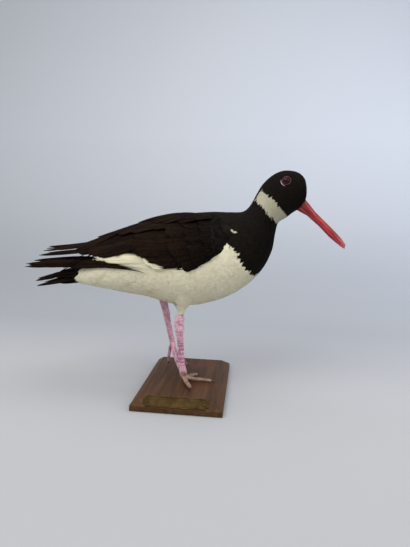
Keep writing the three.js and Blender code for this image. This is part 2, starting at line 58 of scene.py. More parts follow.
# Trunk, neck and head: back point, belly point (x, z) and half width, as in the solids.
SECTIONS = [
    (-142, 143, -149, 128, 9), (-124, 153, -132, 124, 17), (-104, 166, -112, 121, 24),
    (-79, 180, -81, 116.5, 31), (-54, 196, -48, 112, 38), (-26, 208, -15, 104.3, 43),
    (0.5, 214.5, 15, 105.6, 46), (27, 217, 44, 115, 46), (48, 217, 69, 130, 41.5),
    (62, 217.6, 88.5, 151, 34.5), (69, 222, 98.7, 172.8, 27.5), (74.6, 230.6, 101.8, 193, 22.5),
    (79, 239.4, 104.7, 205.9, 19), (85.4, 250.3, 113.6, 212.5, 17), (96.4, 260.6, 121, 218.5, 16.2),
    (108.6, 265.6, 127, 222.3, 15.6), (122.3, 264.6, 130.6, 225.2, 13.4), (131, 258.9, 133.2, 227.5, 10.4),
    (135.5, 249.5, 134.8, 229.5, 6.6),
]

# The surface that the folded wing lies along, in the same form.
CLOAK = [
    (-222, 160, -222, 134, 9), (-178, 167, -180, 132, 12), (-145, 173, -150, 128, 16.5),
    (-119, 180, -125, 119, 22.5), (-98, 187, -103, 116, 28), (-78, 194, -80, 114, 34),
    (-54, 202, -48, 111, 39.5), (-26, 209.5, -15, 104, 44), (0.5, 215.5, 15, 105, 46.6),
    (27, 218, 44, 114, 46.4), (48, 218, 69, 129, 42), (62, 218.6, 90, 150, 35),
]

rng = np.random.default_rng(7)


# Curves and surfaces


def spline(points, t):
    """Points on a smooth curve through the rows of a table, at t from 0 to 1."""
    p = np.asarray(points, float)
    last = len(p) - 1
    t = np.clip(np.asarray(t, float), 0, 1) * last
    i = np.minimum(t.astype(int), last - 1)
    w = (t - i)[..., None]
    q = np.vstack([2 * p[0] - p[1], p, 2 * p[-1] - p[-2]])
    a, b, c, d = q[i], q[i + 1], q[i + 2], q[i + 3]
    m1, m2 = (c - a) / 2, (d - b) / 2
    return (2 * b - 2 * c + m1 + m2) * w**3 + (-3 * b + 3 * c - 2 * m1 - m2) * w**2 + m1 * w + b


class Surface:
    """A body of oval sections; a place on it is how far along (0 at the tail) and the turn from the back."""

    NEAR, NEAR_TURN = 0.004, 0.02  # small steps along and round, to measure the surface with

    def __init__(self, table):
        self.table = np.asarray(table, float)

    def point(self, along, turn, lift, side=1.0, rise=0.0):
        """Points at places on the surface, lifted off it and risen, in mm."""
        row = spline(self.table, along)
        back, belly, wide = row[..., 0:2], row[..., 2:4], row[..., 4]
        half = (back - belly) / 2
        grow = np.cos(turn) * (1 + lift / np.linalg.norm(half, axis=-1))
        flat = (back + belly) / 2 + half * grow[..., None]
        y = BIRD_Y + side * np.sin(turn) * (wide + lift)
        return np.stack([flat[..., 0], y, flat[..., 1] + rise], axis=-1)

    def place(self, x, z, top=0.99):
        """The place that is seen from the side at (x, z)."""
        x, z = np.asarray(x, float), np.asarray(z, float)
        low, high = np.zeros_like(x), np.ones_like(x)
        for _ in range(34):
            mid = (low + high) / 2
            r = spline(self.table, mid)
            beyond = (r[..., 2] - r[..., 0]) * (z - r[..., 1]) - (r[..., 3] - r[..., 1]) * (x - r[..., 0])
            low = np.where(beyond > 0, mid, low)
            high = np.where(beyond > 0, high, mid)
        r = spline(self.table, low)
        half = (r[..., 0:2] - r[..., 2:4]) / 2
        off = np.stack([x, z], -1) - (r[..., 0:2] + r[..., 2:4]) / 2
        share = (off * half).sum(-1) / (half**2).sum(-1)
        return low, np.arccos(np.clip(share, -0.99, top))

    def steps(self, along, turn):
        """Millimetres of surface for one unit of along and for one radian of turn."""
        none = np.zeros_like(along)
        front, rear = np.clip(along + self.NEAR, 0, 1), np.clip(along - self.NEAR, 0, 1)
        apart = self.point(front, turn, none) - self.point(rear, turn, none)
        per_along = np.linalg.norm(apart, axis=-1) / (front - rear)
        apart = self.point(along, turn + self.NEAR_TURN, none) - self.point(along, turn, none)
        per_turn = np.linalg.norm(apart, axis=-1) / self.NEAR_TURN
        return np.maximum(per_along, 20), np.maximum(per_turn, 1.5)


BODY = Surface(SECTIONS)
WING = Surface(CLOAK)


def below(points, x, z):
    """How far (x, z) lies below a line of points, in mm of z; the line runs towards +x."""
    p = np.asarray(points, float)
    return np.interp(x, p[:, 0], p[:, 1]) - z


def in_polygon(x, z, corners):
    """Which points lie inside a closed outline, in side view."""
    inside = np.zeros(len(x), bool)
    p = np.asarray(corners, float)
    for (x0, z0), (x1, z1) in zip(p, np.roll(p, -1, axis=0)):
        if z0 != z1:
            inside ^= ((z0 > z) != (z1 > z)) & (x < x0 + (z - z0) * (x1 - x0) / (z1 - z0))
    return inside


def line_distance(x, z, x0, z0, x1, z1):
    """How far points lie from a straight stretch, in side view."""
    run = np.clip(((x - x0) * (x1 - x0) + (z - z0) * (z1 - z0)) / ((x1 - x0) ** 2 + (z1 - z0) ** 2), 0, 1)
    return np.hypot(x - x0 - run * (x1 - x0), z - z0 - run * (z1 - z0))


# Settings that a user can change


def linear(code):
    """An sRGB hex colour as linear light."""
    parts = [int(code[i : i + 2], 16) / 255 for i in (0, 2, 4)]
    return tuple(c / 12.92 if c <= 0.04045 else ((c + 0.055) / 1.055) ** 2.4 for c in parts) + (1.0,)


def colour(name, description, code):
    """A colour, given as an sRGB hex value."""
    return FloatVectorProperty(
        name=name, description=description, default=linear(code), size=4, min=0, max=1, subtype="COLOR"
    )


def amount(name, description, default, **limits):
    """A plain number."""
    return FloatProperty(name=name, description=description, default=default, **limits)


def length(name, description, default):
    """A length, in metres."""
    return amount(name, description, default, min=0, precision=5, unit="LENGTH")


SENSOR = 36  # width of the camera's sensor, in mm
LENS = 411 / 547 * SENSOR  # the photo's focal length over its height, both in pixels


class PlumageSettings(bpy.types.PropertyGroup):
    black_dark: colour("Black, shaded", "Darkest barbs of the black plumage", "060504")
    black_light: colour("Black, lit", "Lightest barbs of the black plumage", "1c1814")
    white_dark: colour("White, shaded", "Darkest barbs of the white plumage", "d2cdad")
    white_light: colour("White, lit", "Lightest barbs of the white plumage", "efead0")
    wing_dark: colour("Wing, shaded", "Darkest barbs of the flight feathers and coverts", "050302")
    wing_light: colour("Wing, lit", "Lightest barbs of the flight feathers and coverts", "2a1b10")
    skin_depth: length("Skin depth", "How far the skin lies inside the coat's outside", 0.0006)
    vane_thickness: length("Vane thickness", "Thickness of a wing or tail feather at its shaft", 0.0003)
    tuft_length: amount("Feather length", "A body feather's length over its spacing", 4.0, min=1, max=8)


class BareSettings(bpy.types.PropertyGroup):
    bill_base: colour("Bill at its base", "Paint at the base of the bill", "6e211a")
    bill_middle: colour("Bill", "Paint along the bill", "b8343a")
    bill_tip: colour("Bill tip", "Worn paint at the tip of the bill", "b9666c")
    eyelid: colour("Eyelid", "Dry skin of the ring round the eye", "5c1c2c")
    iris: colour("Iris", "Colour behind the glass round the pupil", "6b1426")
    # Painted shade and light: the skin between the scales is drawn darker and the scales paler.
    leg_skin_shaded: colour("Leg skin", "Painted skin between the scales of the legs", "bd829a")
    leg_scales_lit: colour("Leg scales", "Painted scales of the legs", "e3b2c5")
    toes: colour("Toes", "Bare dry skin of the toes", "9a7a6a")
    claws: colour("Claws", "Dark horn of the claws", "2b211c")
    scale_height: length("Scale height", "How far a horny plate stands off the skin", 0.00022)


class BaseSettings(bpy.types.PropertyGroup):
    wood_dark: colour("Wood pores", "Stain in the open grain", "1f140c")
    wood_light: colour("Wood ridges", "Worn wood between the pores", "6a4c30")
    brass_dark: colour("Tarnish", "Oxidised brass", "35291a")
    brass_light: colour("Brass", "Brass where it is least tarnished", "5a4a2c")
    edge_round: length("Edge rounding", "Rounding of the plinth's edges", 0.0007)
    border_inset: length("Border inset", "From the plaque's edge to its engraved border", 0.0011)
    border_width: length("Border width", "Width of the plaque's engraved border", 0.0004)


class StudioSettings(bpy.types.PropertyGroup):
    paper: colour("Paper", "Backdrop paper where the plinth stands", "acadb0")
    air: amount("Room light", "Strength of the light from all sides", 0.55, min=0)
    lamps: amount("Lamps", "Strength of all lamps together", 1.0, min=0)
    lens: amount("Lens", "Focal length of the camera", LENS, min=1, unit="CAMERA")


class MountSettings(bpy.types.PropertyGroup):
    plumage: PointerProperty(type=PlumageSettings)
    bare: PointerProperty(type=BareSettings)
    base: PointerProperty(type=BaseSettings)
    studio: PointerProperty(type=StudioSettings)


def settings():
    """The values that the user has set, in their groups."""
    return bpy.context.scene.mount_settings


# Objects


def alone(obj):
    """Makes an object the only one selected, and active."""
    bpy.ops.object.select_all(action="DESELECT")
    obj.select_set(True)
    bpy.context.view_layer.objects.active = obj


def modify(obj, kind, **options):
    """Adds a modifier and applies it."""
    alone(obj)
    modifier = obj.modifiers.new(kind.title(), kind)
    for name, value in options.items():
        setattr(modifier, name, value)
    bpy.ops.object.modifier_apply(modifier=modifier.name)


def edit(obj, *steps, kind=None, parts=()):
    """Runs mesh operators, each with its options, on all of an object or on some faces or edges of it."""
    numbers = [part.index for part in parts]
    alone(obj)
    bpy.ops.object.mode_set(mode="EDIT")
    if kind:
        bpy.ops.mesh.select_mode(type=kind)
        bpy.ops.mesh.select_all(action="DESELECT")
        bpy.ops.object.mode_set(mode="OBJECT")
        every = obj.data.polygons if kind == "FACE" else obj.data.edges
        for number in numbers:
            every[number].select = True
        bpy.ops.object.mode_set(mode="EDIT")
    else:
        bpy.ops.mesh.select_all(action="SELECT")
    for operator, options in steps:
        operator(**options)
    bpy.ops.object.mode_set(mode="OBJECT")


def primitive(operator, stretch=(1, 1, 1), **options):
    """A new primitive, with its place, turn and size in its mesh."""
    bpy.ops.object.select_all(action="DESELECT")
    operator(**options)
    obj = bpy.context.object
    obj.scale = stretch
    bpy.ops.object.transform_apply(location=True, rotation=True, scale=True)
    return obj


def copied(*names):
    """One merged copy of CAD nodes, with its own mesh."""
    copies = []
    for name in names:
        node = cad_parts[name]
        copy = node.copy()
        copy.data = node.data.copy()
        copy.data.materials.clear()
        matrix = node.matrix_world.copy()
        bpy.context.collection.objects.link(copy)
        copy.parent = None
        copy.matrix_world = matrix
        copies.append(copy)
    alone(copies[0])
    for copy in copies:
        copy.select_set(True)
    bpy.ops.object.transform_apply(location=True, rotation=True, scale=True)
    if len(copies) > 1:
        bpy.ops.object.join()
    obj = bpy.context.view_layer.objects.active
    edit(obj, (bpy.ops.mesh.remove_doubles, {"threshold": 0.00002}))
    return obj


def finish_piece(obj, name, material, *nodes, slot, smooth=True):
    """Names a piece, gives it its material, hides the CAD nodes that it stands for and hangs it on the root.
    """
    obj.name = name
    obj.data.name = name
    obj.data.materials.clear()
    obj.data.materials.append(material)
    alone(obj)
    if smooth:
        bpy.ops.object.shade_smooth()
    if nodes:
        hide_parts(*nodes)
    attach(obj, "root")
    return obj


def give_values(mesh, values):
    """Stores numbers by point, which the materials read."""
    for key, data in values.items():
        mesh.attributes.new(key, "FLOAT", "POINT").data.foreach_set("value", np.asarray(data, np.float32))


def shells(name, points, faces, material, *nodes, values=(), maps=(), turn_out=True, **finish):
    """A piece of closed shells from points in mm and faces of one length, with values and maps by point."""
    mesh = bpy.data.meshes.new(name)
    faces = np.asarray(faces, np.int32)
    count, sides = faces.shape
    mesh.vertices.add(len(points))
    mesh.vertices.foreach_set("co", (points * MM).astype(np.float32).ravel())
    mesh.loops.add(count * sides)
    mesh.loops.foreach_set("vertex_index", faces.ravel())
    mesh.polygons.add(count)
    mesh.polygons.foreach_set("loop_start", np.arange(0, count * sides, sides, dtype=np.int32))
    mesh.polygons.foreach_set("loop_total", np.full(count, sides, dtype=np.int32))
    mesh.update(calc_edges=True)
    give_values(mesh, dict(values))
    for key, data in dict(maps).items():
        layer = mesh.uv_layers.new(name=key)
        layer.data.foreach_set("uv", np.asarray(data, np.float32)[faces.ravel()].ravel())
    mesh.validate()
    obj = bpy.data.objects.new(name, mesh)
    bpy.context.collection.objects.link(obj)
    if turn_out:
        edit(obj, (bpy.ops.mesh.normals_make_consistent, {"inside": False}))
    return finish_piece(obj, name, material, *nodes, **finish)


def points_of(obj):
    """A mesh's points, in mm."""
    points = np.empty(len(obj.data.vertices) * 3)
    obj.data.vertices.foreach_get("co", points)
    return points.reshape(-1, 3) / MM


def skin_of(obj):
    """A finder of the nearest skin, in metres."""
    return BVHTree.FromPolygons([v.co for v in obj.data.vertices], [p.vertices for p in obj.data.polygons])


def unit(vectors):
    """Vectors of length 1."""
    return vectors / np.linalg.norm(vectors, axis=-1, keepdims=True)


# Shader nodes


def as_colour(value):
    """RGBA from an sRGB hex code, a grey level or a setting."""
    if isinstance(value, str):
        return linear(value)
    return (value, value, value, 1.0) if isinstance(value, float) else tuple(value)


def feed(tree, node, inputs):
    """Sets inputs: each is a value, a socket to link, or a node whose first output in use is linked."""
    for key, value in inputs.items():
        if isinstance(value, bpy.types.Node):
            value = next(socket for socket in value.outputs if socket.enabled)
        if isinstance(value, bpy.types.NodeSocket):
            tree.links.new(value, node.inputs[key])
        else:
            node.inputs[key].default_value = value


def add(tree, kind, inputs=(), stops=(), **options):
    """A node with its options and inputs and, where it is a ramp, the places and colours of its stops.

    Its kind is the type's name without the ShaderNode in front.
    """
    node = tree.nodes.new("ShaderNode" + kind)
    for name, value in options.items():
        setattr(node, name, value)
    feed(tree, node, dict(inputs))
    if stops:
        elements = node.color_ramp.elements
        while len(elements) < len(stops):
            elements.new(0.5)
        for element, (at, value) in zip(elements, stops):
            element.position = at
            element.color = as_colour(value)
    return node


def base_material(name, value, roughness, **others):
    """A material with one shader; the others are the shader's inputs, with _ for a space."""
    material = bpy.data.materials.new(name)
    material.use_nodes = True
    tree = material.node_tree
    shader = tree.nodes["Principled BSDF"]
    feed(tree, shader, {"Base Color": as_colour(value), "Roughness": roughness})
    feed(tree, shader, {key.replace("_", " "): number for key, number in others.items()})
    return material, tree, shader


def dress(tree, shader, hue, height, strength, depth):
    """Gives the shader its colour and its fine relief, whose depth is in metres."""
    relief = add(tree, "Bump", {"Height": height, "Strength": strength, "Distance": depth})
    feed(tree, shader, {"Base Color": hue, "Normal": relief})


# Plumage: markings and materials

HOOD_EDGE = [
    (-160, 230), (-96, 222), (-66, 200), (-30, 196), (30, 197), (42, 197), (50, 191), (58, 184), (64, 178),
    (68.5, 172), (72, 163), (76, 158), (83, 152.5), (91, 149.5), (112, 145),
]
COLLAR_UPPER = [(81, 249.5), (87.3, 244.5), (100, 234), (116, 218), (124, 209)]
COLLAR_LOWER = [(71, 245), (79.5, 235.7), (91.6, 222.1), (105, 210.3), (114, 201)]
COLLAR_WHITE = 0.56  # the collar's feathers are drawn greyer, as a mix of white and black


def whiteness(x, y, z, scatter):
    """1 where the plumage is white, 0 where it is black; scatter in mm makes the edge uneven."""
    belly = below(HOOD_EDGE, x, z) + scatter > 0
    belly &= (x < 100) & (z < 205) & (x > -135 + (z - 126) * 0.5 + 0.5 * scatter)
    belly |= np.hypot(x + 3, z - 108) < 14  # the thigh
    collar = below(COLLAR_UPPER, x, z) + 0.6 * scatter > 0
    collar &= below(COLLAR_LOWER, x, z) + 0.6 * scatter < 0
    nape = (x - 85) * 0.72 + (z - 240) * 0.72
    along_nape = (x < 92) & (np.abs(y - BIRD_Y) < 8 + 0.5 * scatter) & (z > 222)
    collar &= (x < 122) & (x > 72) & ~along_nape & (nape > -20)
    return np.where(belly, 1.0, np.where(collar, COLLAR_WHITE, 0.0))


def down_streaks(tree):
    """Loose barbs that lie along the bird. Real ones are under 0.1 mm, here drawn ten times as coarse."""
    where = add(tree, "TexCoord").outputs["Object"]
    along = add(tree, "Mapping", {"Vector": where, "Scale": (0.22, 1.0, 1.0)})
    return add(tree, "TexNoise", {"Vector": along, "Scale": 900.0, "Detail": 3.0, "Roughness": 0.6})


def vane_streaks(tree, tone):
    """The barbs of a vane, and worn and bleached streaks that differ from feather to feather."""
    where = add(tree, "UVMap", uv_map="Vane")
    split = add(tree, "SeparateXYZ", {"Vector": where}).outputs
    # Barbs run out from the shaft at a slant. Real ones are 0.3 mm apart, here about four times as coarse.
    across = add(tree, "Math", {0: split["Y"]}, operation="ABSOLUTE")
    slant = add(tree, "Math", {0: across, 1: -1.6}, operation="MULTIPLY")
    line = add(tree, "Math", {0: split["X"], 1: slant}, operation="ADD")
    lie = add(tree, "CombineXYZ", {"X": line, "Y": tone})
    barbs = add(tree, "TexNoise", {"Vector": lie, "Scale": 0.9, "Detail": 4.0, "Roughness": 0.7})
    # The streaks run along the vane, some 1.5 mm wide and 15 mm long.
    feather = add(tree, "Math", {0: tone, 1: 60.0}, operation="MULTIPLY")
    place = add(tree, "CombineXYZ", {"X": split["X"], "Y": split["Y"], "Z": feather})
    lie = add(tree, "Mapping", {"Vector": place, "Scale": (0.07, 0.7, 1.0)})
    bleach = add(tree, "TexNoise", {"Vector": lie, "Scale": 1.0, "Detail": 4.0, "Roughness": 0.65})
    return add(tree, "Mix", {"Factor": 0.75, "A": barbs, "B": bleach})


def feather_material(name, dark, light, roughness, sheen, specular, vane):
    """Plumage: matt keratin barbs that scatter light along the feather: a soft sheen and no hard gloss."""
    tint = settings().plumage
    gloss = {"Sheen_Weight": sheen, "Sheen_Roughness": 0.5, "Specular_IOR_Level": specular}
    material, tree, shader = base_material(name, dark, roughness, **gloss)
    white = add(tree, "Attribute", attribute_name="white").outputs["Fac"]
    tone = add(tree, "Attribute", attribute_name="tone").outputs["Fac"]
    streak = vane_streaks(tree, tone) if vane else down_streaks(tree)
    contrast, strength, depth = (2.6, 0.5, 0.0004) if vane else (0.7, 0.35, 0.0003)
    spread = add(tree, "Math", {0: streak, 1: contrast, 2: -contrast / 2}, operation="MULTIPLY_ADD")
    mottled = add(tree, "Math", {0: tone, 1: spread}, operation="ADD", use_clamp=True)
    black = add(tree, "ValToRGB", {"Fac": mottled}, [(0.0, dark), (1.0, light)])
    pale = add(tree, "ValToRGB", {"Fac": mottled}, [(0.0, tint.white_dark), (1.0, tint.white_light)])
    hue = add(tree, "Mix", {"Factor": white, "A": black, "B": pale}, data_type="RGBA")
    dress(tree, shader, hue, streak, strength, depth)
    return material


MATERIALS = {}


def make_materials():
    """The two materials that several pieces share."""
    tint = settings().plumage
    MATERIALS["plumage"] = feather_material(
        "Plumage barbs", tint.black_dark, tint.black_light, 0.85, sheen=0.006, specular=0.06, vane=False
    )
    MATERIALS["wing"] = feather_material(
        "Flight feather vanes", tint.wing_dark, tint.wing_light, 0.75, sheen=0.004, specular=0.05, vane=True
    )


# Small feathers

# Outline of a small feather: how far along it and across it, as shares of its length and width.
TUFT = [
    (0.0, 0.0), (0.18, 0.36), (0.52, 0.5), (0.82, 0.47), (0.8, 0.36), (0.95, 0.25), (0.88, 0.14), (1.0, 0.0),
    (0.9, -0.12), (0.96, -0.24), (0.79, -0.33), (0.84, -0.45), (0.52, -0.5), (0.18, -0.36),
]
TUFT_SHAPE = np.array([*TUFT, (0.5, 0.0), (0.5, 0.0)])  # with the middles of its top and underside
TUFT_THICK = np.array([0.0] * len(TUFT) + [0.06, -0.1])  # in mm
TUFT_CELL = 0.003  # how much of the OFBake map a small feather spans each way
TUFT_WIDTH = 1.7  # a small feather's width over its spacing
DROOP = 0.04  # how far a small feather's edges hang, as a share of its width
JAGGED = 0.045  # how uneven its tip is, as a share of its length
SCATTER = 0.22  # how far its root strays, as a share of the spacing
ROW_STEP = 0.8  # from row to row, as a share of the spacing
RUFFLE = 0.07  # how unevenly small feathers catch the light


def tuft_faces():
    """Triangles of one small feather, from its rim to the middles of its top and underside."""
    rim = len(TUFT)
    top, bottom = rim, rim + 1
    faces = []
    for j in range(rim):
        after = (j + 1) % rim
        faces.append((top, j, after))
        faces.append((bottom, after, j))
    return np.array(faces)


def soften(obj, outward):
    """Shades small feathers as the rounded surface that they lie along, as down does, not as flat scales."""
    obj.data.normals_split_custom_set_from_vertices(unit(outward).reshape(-1, 3))


THIGH_AT = (-2, -16, 19)  # middle of the thigh's top from above and the reach round it, in mm
THIGH_TOP = 130
FEEL = 0.012  # metres out from the surface to look for the swelling from


def drape(places, outward, up, skin):
    """Belly feathers near the thigh lie over its swelling and not through it."""
    x, y, reach = THIGH_AT
    depth = settings().plumage.skin_depth / MM
    near = (np.hypot(places[..., 0] - x, places[..., 1] - y) < reach) & (places[..., 2] < THIGH_TOP)
    for index in zip(*np.nonzero(near)):
        out = Vector(outward[index])
        out.normalize()
        start = Vector(places[index]) * MM
        found, normal, _, _ = skin.ray_cast(start + out * FEEL, -out, FEEL + MM)
        if found is not None:
            swelling = (found - start).dot(out) / MM + up[index] + depth
            if swelling > 0.05:
                places[index] += np.array(out) * swelling
                outward[index] = np.array((out + normal * 1.2).normalized())


def coat(name, surface, slot, sunk, *, along, turn, side, length, width, lift, mark, tone, skew, skin=None):
    """One joined mesh of small closed feathers, each rooted on the surface and pointing tailwards.

    Each root lies at sunk and each tip at its lift, in mm out from the surface.
    """
    count = len(along)
    per_along, per_turn = surface.steps(along, turn)
    share, across = TUFT_SHAPE[None, :, 0], TUFT_SHAPE[None, :, 1]
    x, y = share * length[:, None], across * width[:, None]
    x = x * (1 + JAGGED * rng.standard_normal(x.shape) * (share > 0.7))
    cos, sin = np.cos(skew)[:, None], np.sin(skew)[:, None]
    x, y = x * cos - y * sin, x * sin + y * cos
    up = sunk + (lift[:, None] - sunk) * share
    up = up - DROOP * (2 * np.abs(across)) ** 2 * width[:, None] + TUFT_THICK[None, :]
    at = np.clip(along[:, None] - x / per_along[:, None], 0, 1)
    round_it = turn[:, None] + y / per_turn[:, None]
    places = surface.point(at, round_it, up, side[:, None])
    outward = unit(surface.point(at, round_it, up + 1, side[:, None]) - places)
    outward += rng.normal(0, RUFFLE, (count, 1, 3))
    if skin is not None:
        drape(places, outward, up, skin)
    every = len(TUFT_SHAPE) * np.arange(count)[:, None, None] + tuft_faces()[None]
    every[side < 0] = every[side < 0][:, :, ::-1]
    baked = np.stack([(turn * side) / (2 * math.pi) + 0.5, along], -1) * 0.98 + 0.01
    uv = baked[:, None, :] + ((TUFT_SHAPE - (0.5, 0.0)) * TUFT_CELL)[None, :, ::-1]
    tones = tone[:, None] + 0.12 * (share - 0.5)
    values = {"white": np.repeat(mark, len(TUFT_SHAPE)), "tone": np.clip(tones, 0, 1).ravel()}
    maps = {"OFBake": uv.reshape(-1, 2)}
    points, faces = places.reshape(-1, 3), every.reshape(-1, 3)
    finish = {"values": values, "maps": maps, "slot": slot, "turn_out": False}
    soften(shells(name, points, faces, MATERIALS["plumage"], **finish), outward)


def scatter_places(surface, spacing, start, stop, first=0.0, last=math.pi):
    """Staggered places over a stretch of the surface; spacing gives mm apart at each share along."""
    found = []
    along = start
    row = 0
    fan = last - first
    while along < stop:
        probe = np.linspace(first, last, 9)
        per_along, per_turn = surface.steps(np.full_like(probe, along), probe)
        gap = spacing(along)
        count = max(3, int(np.mean(per_turn) * fan / gap))
        turn = first + fan * (np.arange(count) + 0.5 + 0.5 * (row % 2)) / count
        turn = turn + rng.normal(0, SCATTER / count * fan, count)
        keep = np.clip(along + rng.normal(0, SCATTER, count) * gap / np.mean(per_along), 0, 1)
        for side in SIDES.values():
            found.append(np.stack([keep, turn, np.full(count, side)], -1))
        along += ROW_STEP * gap / np.median(per_along)
        row += 1
    return np.vstack(found).T


# Wing and tail feathers

# Rows of wing feathers seen from the side, upper ones first: roots, tips, count, and lift at root and tip.
# Overlap is a feather's width over the distance to the next, and widest is its greatest half width.
WING_ROWS = {
    "primaries": dict(
        roots=[(-66, 172), (-60, 165), (-54, 159), (-48, 154), (-43, 149.5)],
        tips=[(-179, 166.5), (-185, 158), (-188, 156), (-199, 149.5), (-204, 146.5)],
        count=5, lift=(-2, 0.9), bow=-0.22, overlap=1.7, widest=2.7, shares=(0.0, 0.05, 0.22, 0.28, 0.93),
    ),
    "leading_primary": dict(
        roots=[(-50, 149), (-43, 146.5)], tips=[(-199, 148.5), (-204, 146.5)],
        count=2, lift=(0.8, 1.6), bow=-0.22, overlap=4.0, widest=2.6,
    ),
    "loose_barbs": dict(
        roots=[(-116, 167), (-122, 163)], tips=[(-155, 142), (-148, 150)],
        count=3, lift=(3.4, 3.2), overlap=2.0, widest=0.6,
    ),
    "secondaries": dict(
        roots=[(-34, 188), (-28, 170), (-18, 157)], tips=[(-122, 170), (-112, 163), (-88, 156)],
        count=14, lift=(-2.4, 1.6), overlap=2.6, white="soft", widest=4.0,
    ),
    "tertials": dict(
        roots=[(-34, 206), (-28, 197), (-20, 186)], tips=[(-141, 164.5), (-130, 166), (-104, 163)],
        count=8, lift=(-2.2, 3.2), overlap=2.6, widest=7.0,
    ),
    "greater_coverts": dict(
        roots=[(4, 194), (10, 176), (16, 161)], tips=[(-60, 186), (-54, 168), (-34, 155)],
        count=14, lift=(-1.6, 2.2), overlap=3.2, white="ragged", widest=6.0,
    ),
    "median_coverts": dict(
        roots=[(22, 202), (28, 184), (28, 166)], tips=[(-24, 196), (-16, 174), (0, 154)],
        count=14, lift=(-1.6, 2.4), overlap=3.2, white="ragged", widest=5.5,
    ),
    "lesser_coverts_rear": dict(
        roots=[(32, 205), (38, 188), (36, 170)], tips=[(-4, 201), (4, 178), (14, 157)],
        count=15, lift=(-1.6, 2.5), overlap=3.2, white="ragged", widest=5.0,
    ),
    "lesser_coverts_front": dict(
        roots=[(44, 207), (48, 194), (46, 178)], tips=[(14, 204), (20, 184), (27, 163)],
        count=15, lift=(-1.6, 2.4), overlap=3.2, white="ragged", widest=5.0,
    ),
    "back_edge": dict(
        roots=[(24, 213.5), (-30, 207), (-80, 191)], tips=[(-40, 206), (-92, 187), (-140, 165)],
        count=26, lift=(-1.4, 2.2), overlap=2.2, widest=5.0, top=0.98, arch=1.6,
    ),
    "scapulars_rear": dict(
        roots=[(-30, 210), (-6, 212), (14, 206)], tips=[(-110, 184), (-84, 187), (-46, 194)],
        count=14, lift=(-1.8, 2.6), overlap=3.2, widest=5.0, arch=1.6,
    ),
    "scapulars_front": dict(
        roots=[(6, 214), (24, 214), (40, 210)], tips=[(-58, 202), (-34, 201), (-8, 203)],
        count=15, lift=(-1.0, 2.8), overlap=3.4, widest=4.6, top=0.985, arch=3.2,
    ),
}
# The upper edge of the white along the folded wing, in side view.
WING_EDGE = [
    (-112, 157), (-104, 160), (-85, 161.3), (-76, 160.6), (-72, 164.3), (-53, 163.6), (-44.7, 164.5),
    (-35.6, 158.5), (-17.4, 153.1), (0.7, 150.5), (16.4, 154.4), (28, 158.5), (40, 168),
]
VANE_STEP, STEEPEST = 0.4, 0.3  # mm up from one feather of a row to the next, and the most a vane leans
VANE_WANDER, PRIMARY_WANDER = 0.9, 1.6  # mm that a row's tips stray, and how much more the primaries' do
CAMBER, SHAFT, WAVE = 0.5, 0.3, 0.25  # mm: a vane's middle over its edges, its shaft and its ripple
THINNEST = 0.85  # how much thinner a vane is at its edges than at its shaft
BLUNT, POINTED = 2.2, 1.7  # how square the tips of vanes are
SPLITS_FROM, SPLITS_TO = 0.3, 0.97  # the stretch of a vane that has splits
BACK_EDGE = 0.955  # cosine of the nearest that a row comes to the back's middle
NEAREST_TURN = 0.03  # radians from the middle of the back that the two wings keep
LEFT_TIP_RISE = 3.0  # mm that the left wing's tip stands higher
# The points across a vane, from edge to edge; the shaft is at 0.
VANE_ACROSS = np.array([-1, -0.72, -0.4, -0.1, 0, 0.1, 0.4, 0.72, 1])
WING_CELLS, TAIL_CELLS = 10, 7  # vanes side by side in the OFBake map


def tip_rise(side, along):
    """How much higher than its twin a wing's rear part stands, in mm."""
    return (LEFT_TIP_RISE if side > 0 else 0.0) * np.maximum(0, 1 - along / 0.4) ** 1.3


def below_edge(points):
    """How far points lie below the wing's white edge, in mm."""
    return below(WING_EDGE, points[:, 0], points[:, 2])


def grid_faces(rows, cols):
    """Faces of a closed thin sheet: an upper grid, a lower grid and the strip between them."""
    i, j = np.meshgrid(np.arange(rows - 1), np.arange(cols - 1), indexing="ij")
    a = (i * cols + j).ravel()
    upper = np.stack([a, a + 1, a + cols + 1, a + cols], -1)
    lower = upper[:, ::-1] + rows * cols
    front, back = np.arange(cols - 1), (rows - 1) * cols + np.arange(cols - 1, 0, -1)
    right, left = np.arange(rows - 1) * cols + cols - 1, np.arange(rows - 1, 0, -1) * cols
    rim = np.concatenate([front, right, back, left])
    after = np.roll(rim, -1)
    side = np.stack([after, rim, rim + rows * cols, after + rows * cols], -1)
    return np.vstack([upper, lower, side])


def sheet_points(upper, lower):
    """The points of a closed thin sheet, in the order that grid_faces reads them."""
    return np.concatenate([upper.reshape(-1, 3), lower.reshape(-1, 3)])


def vane_outline(v, pointed, splits, depth):
    """Half width share along a feather, with a few splits in its edge."""
    base = np.clip(v / 0.22, 0, 1) ** 0.6 * (0.35 + 0.65 * np.clip(v / 0.5, 0, 1))
    tip = np.sqrt(np.clip(1 - (np.clip((v - 0.72) / 0.28, 0, 1)) ** pointed, 0, 1))
    rag = np.ones_like(v)
    for at in splits:
        rag = rag - depth * np.clip(1 - np.abs(v - at) / 0.022, 0, 1)
    return np.maximum(base * tip, 0.03) * rag


def vane_thickness(v, thinning):
    """Thin at the edges, and thinner towards the tip by the share given."""
    thickness = settings().plumage.vane_thickness / MM
    return thickness * (1 - THINNEST * VANE_ACROSS[None, :] ** 2) * (1 - thinning * v[:, None])


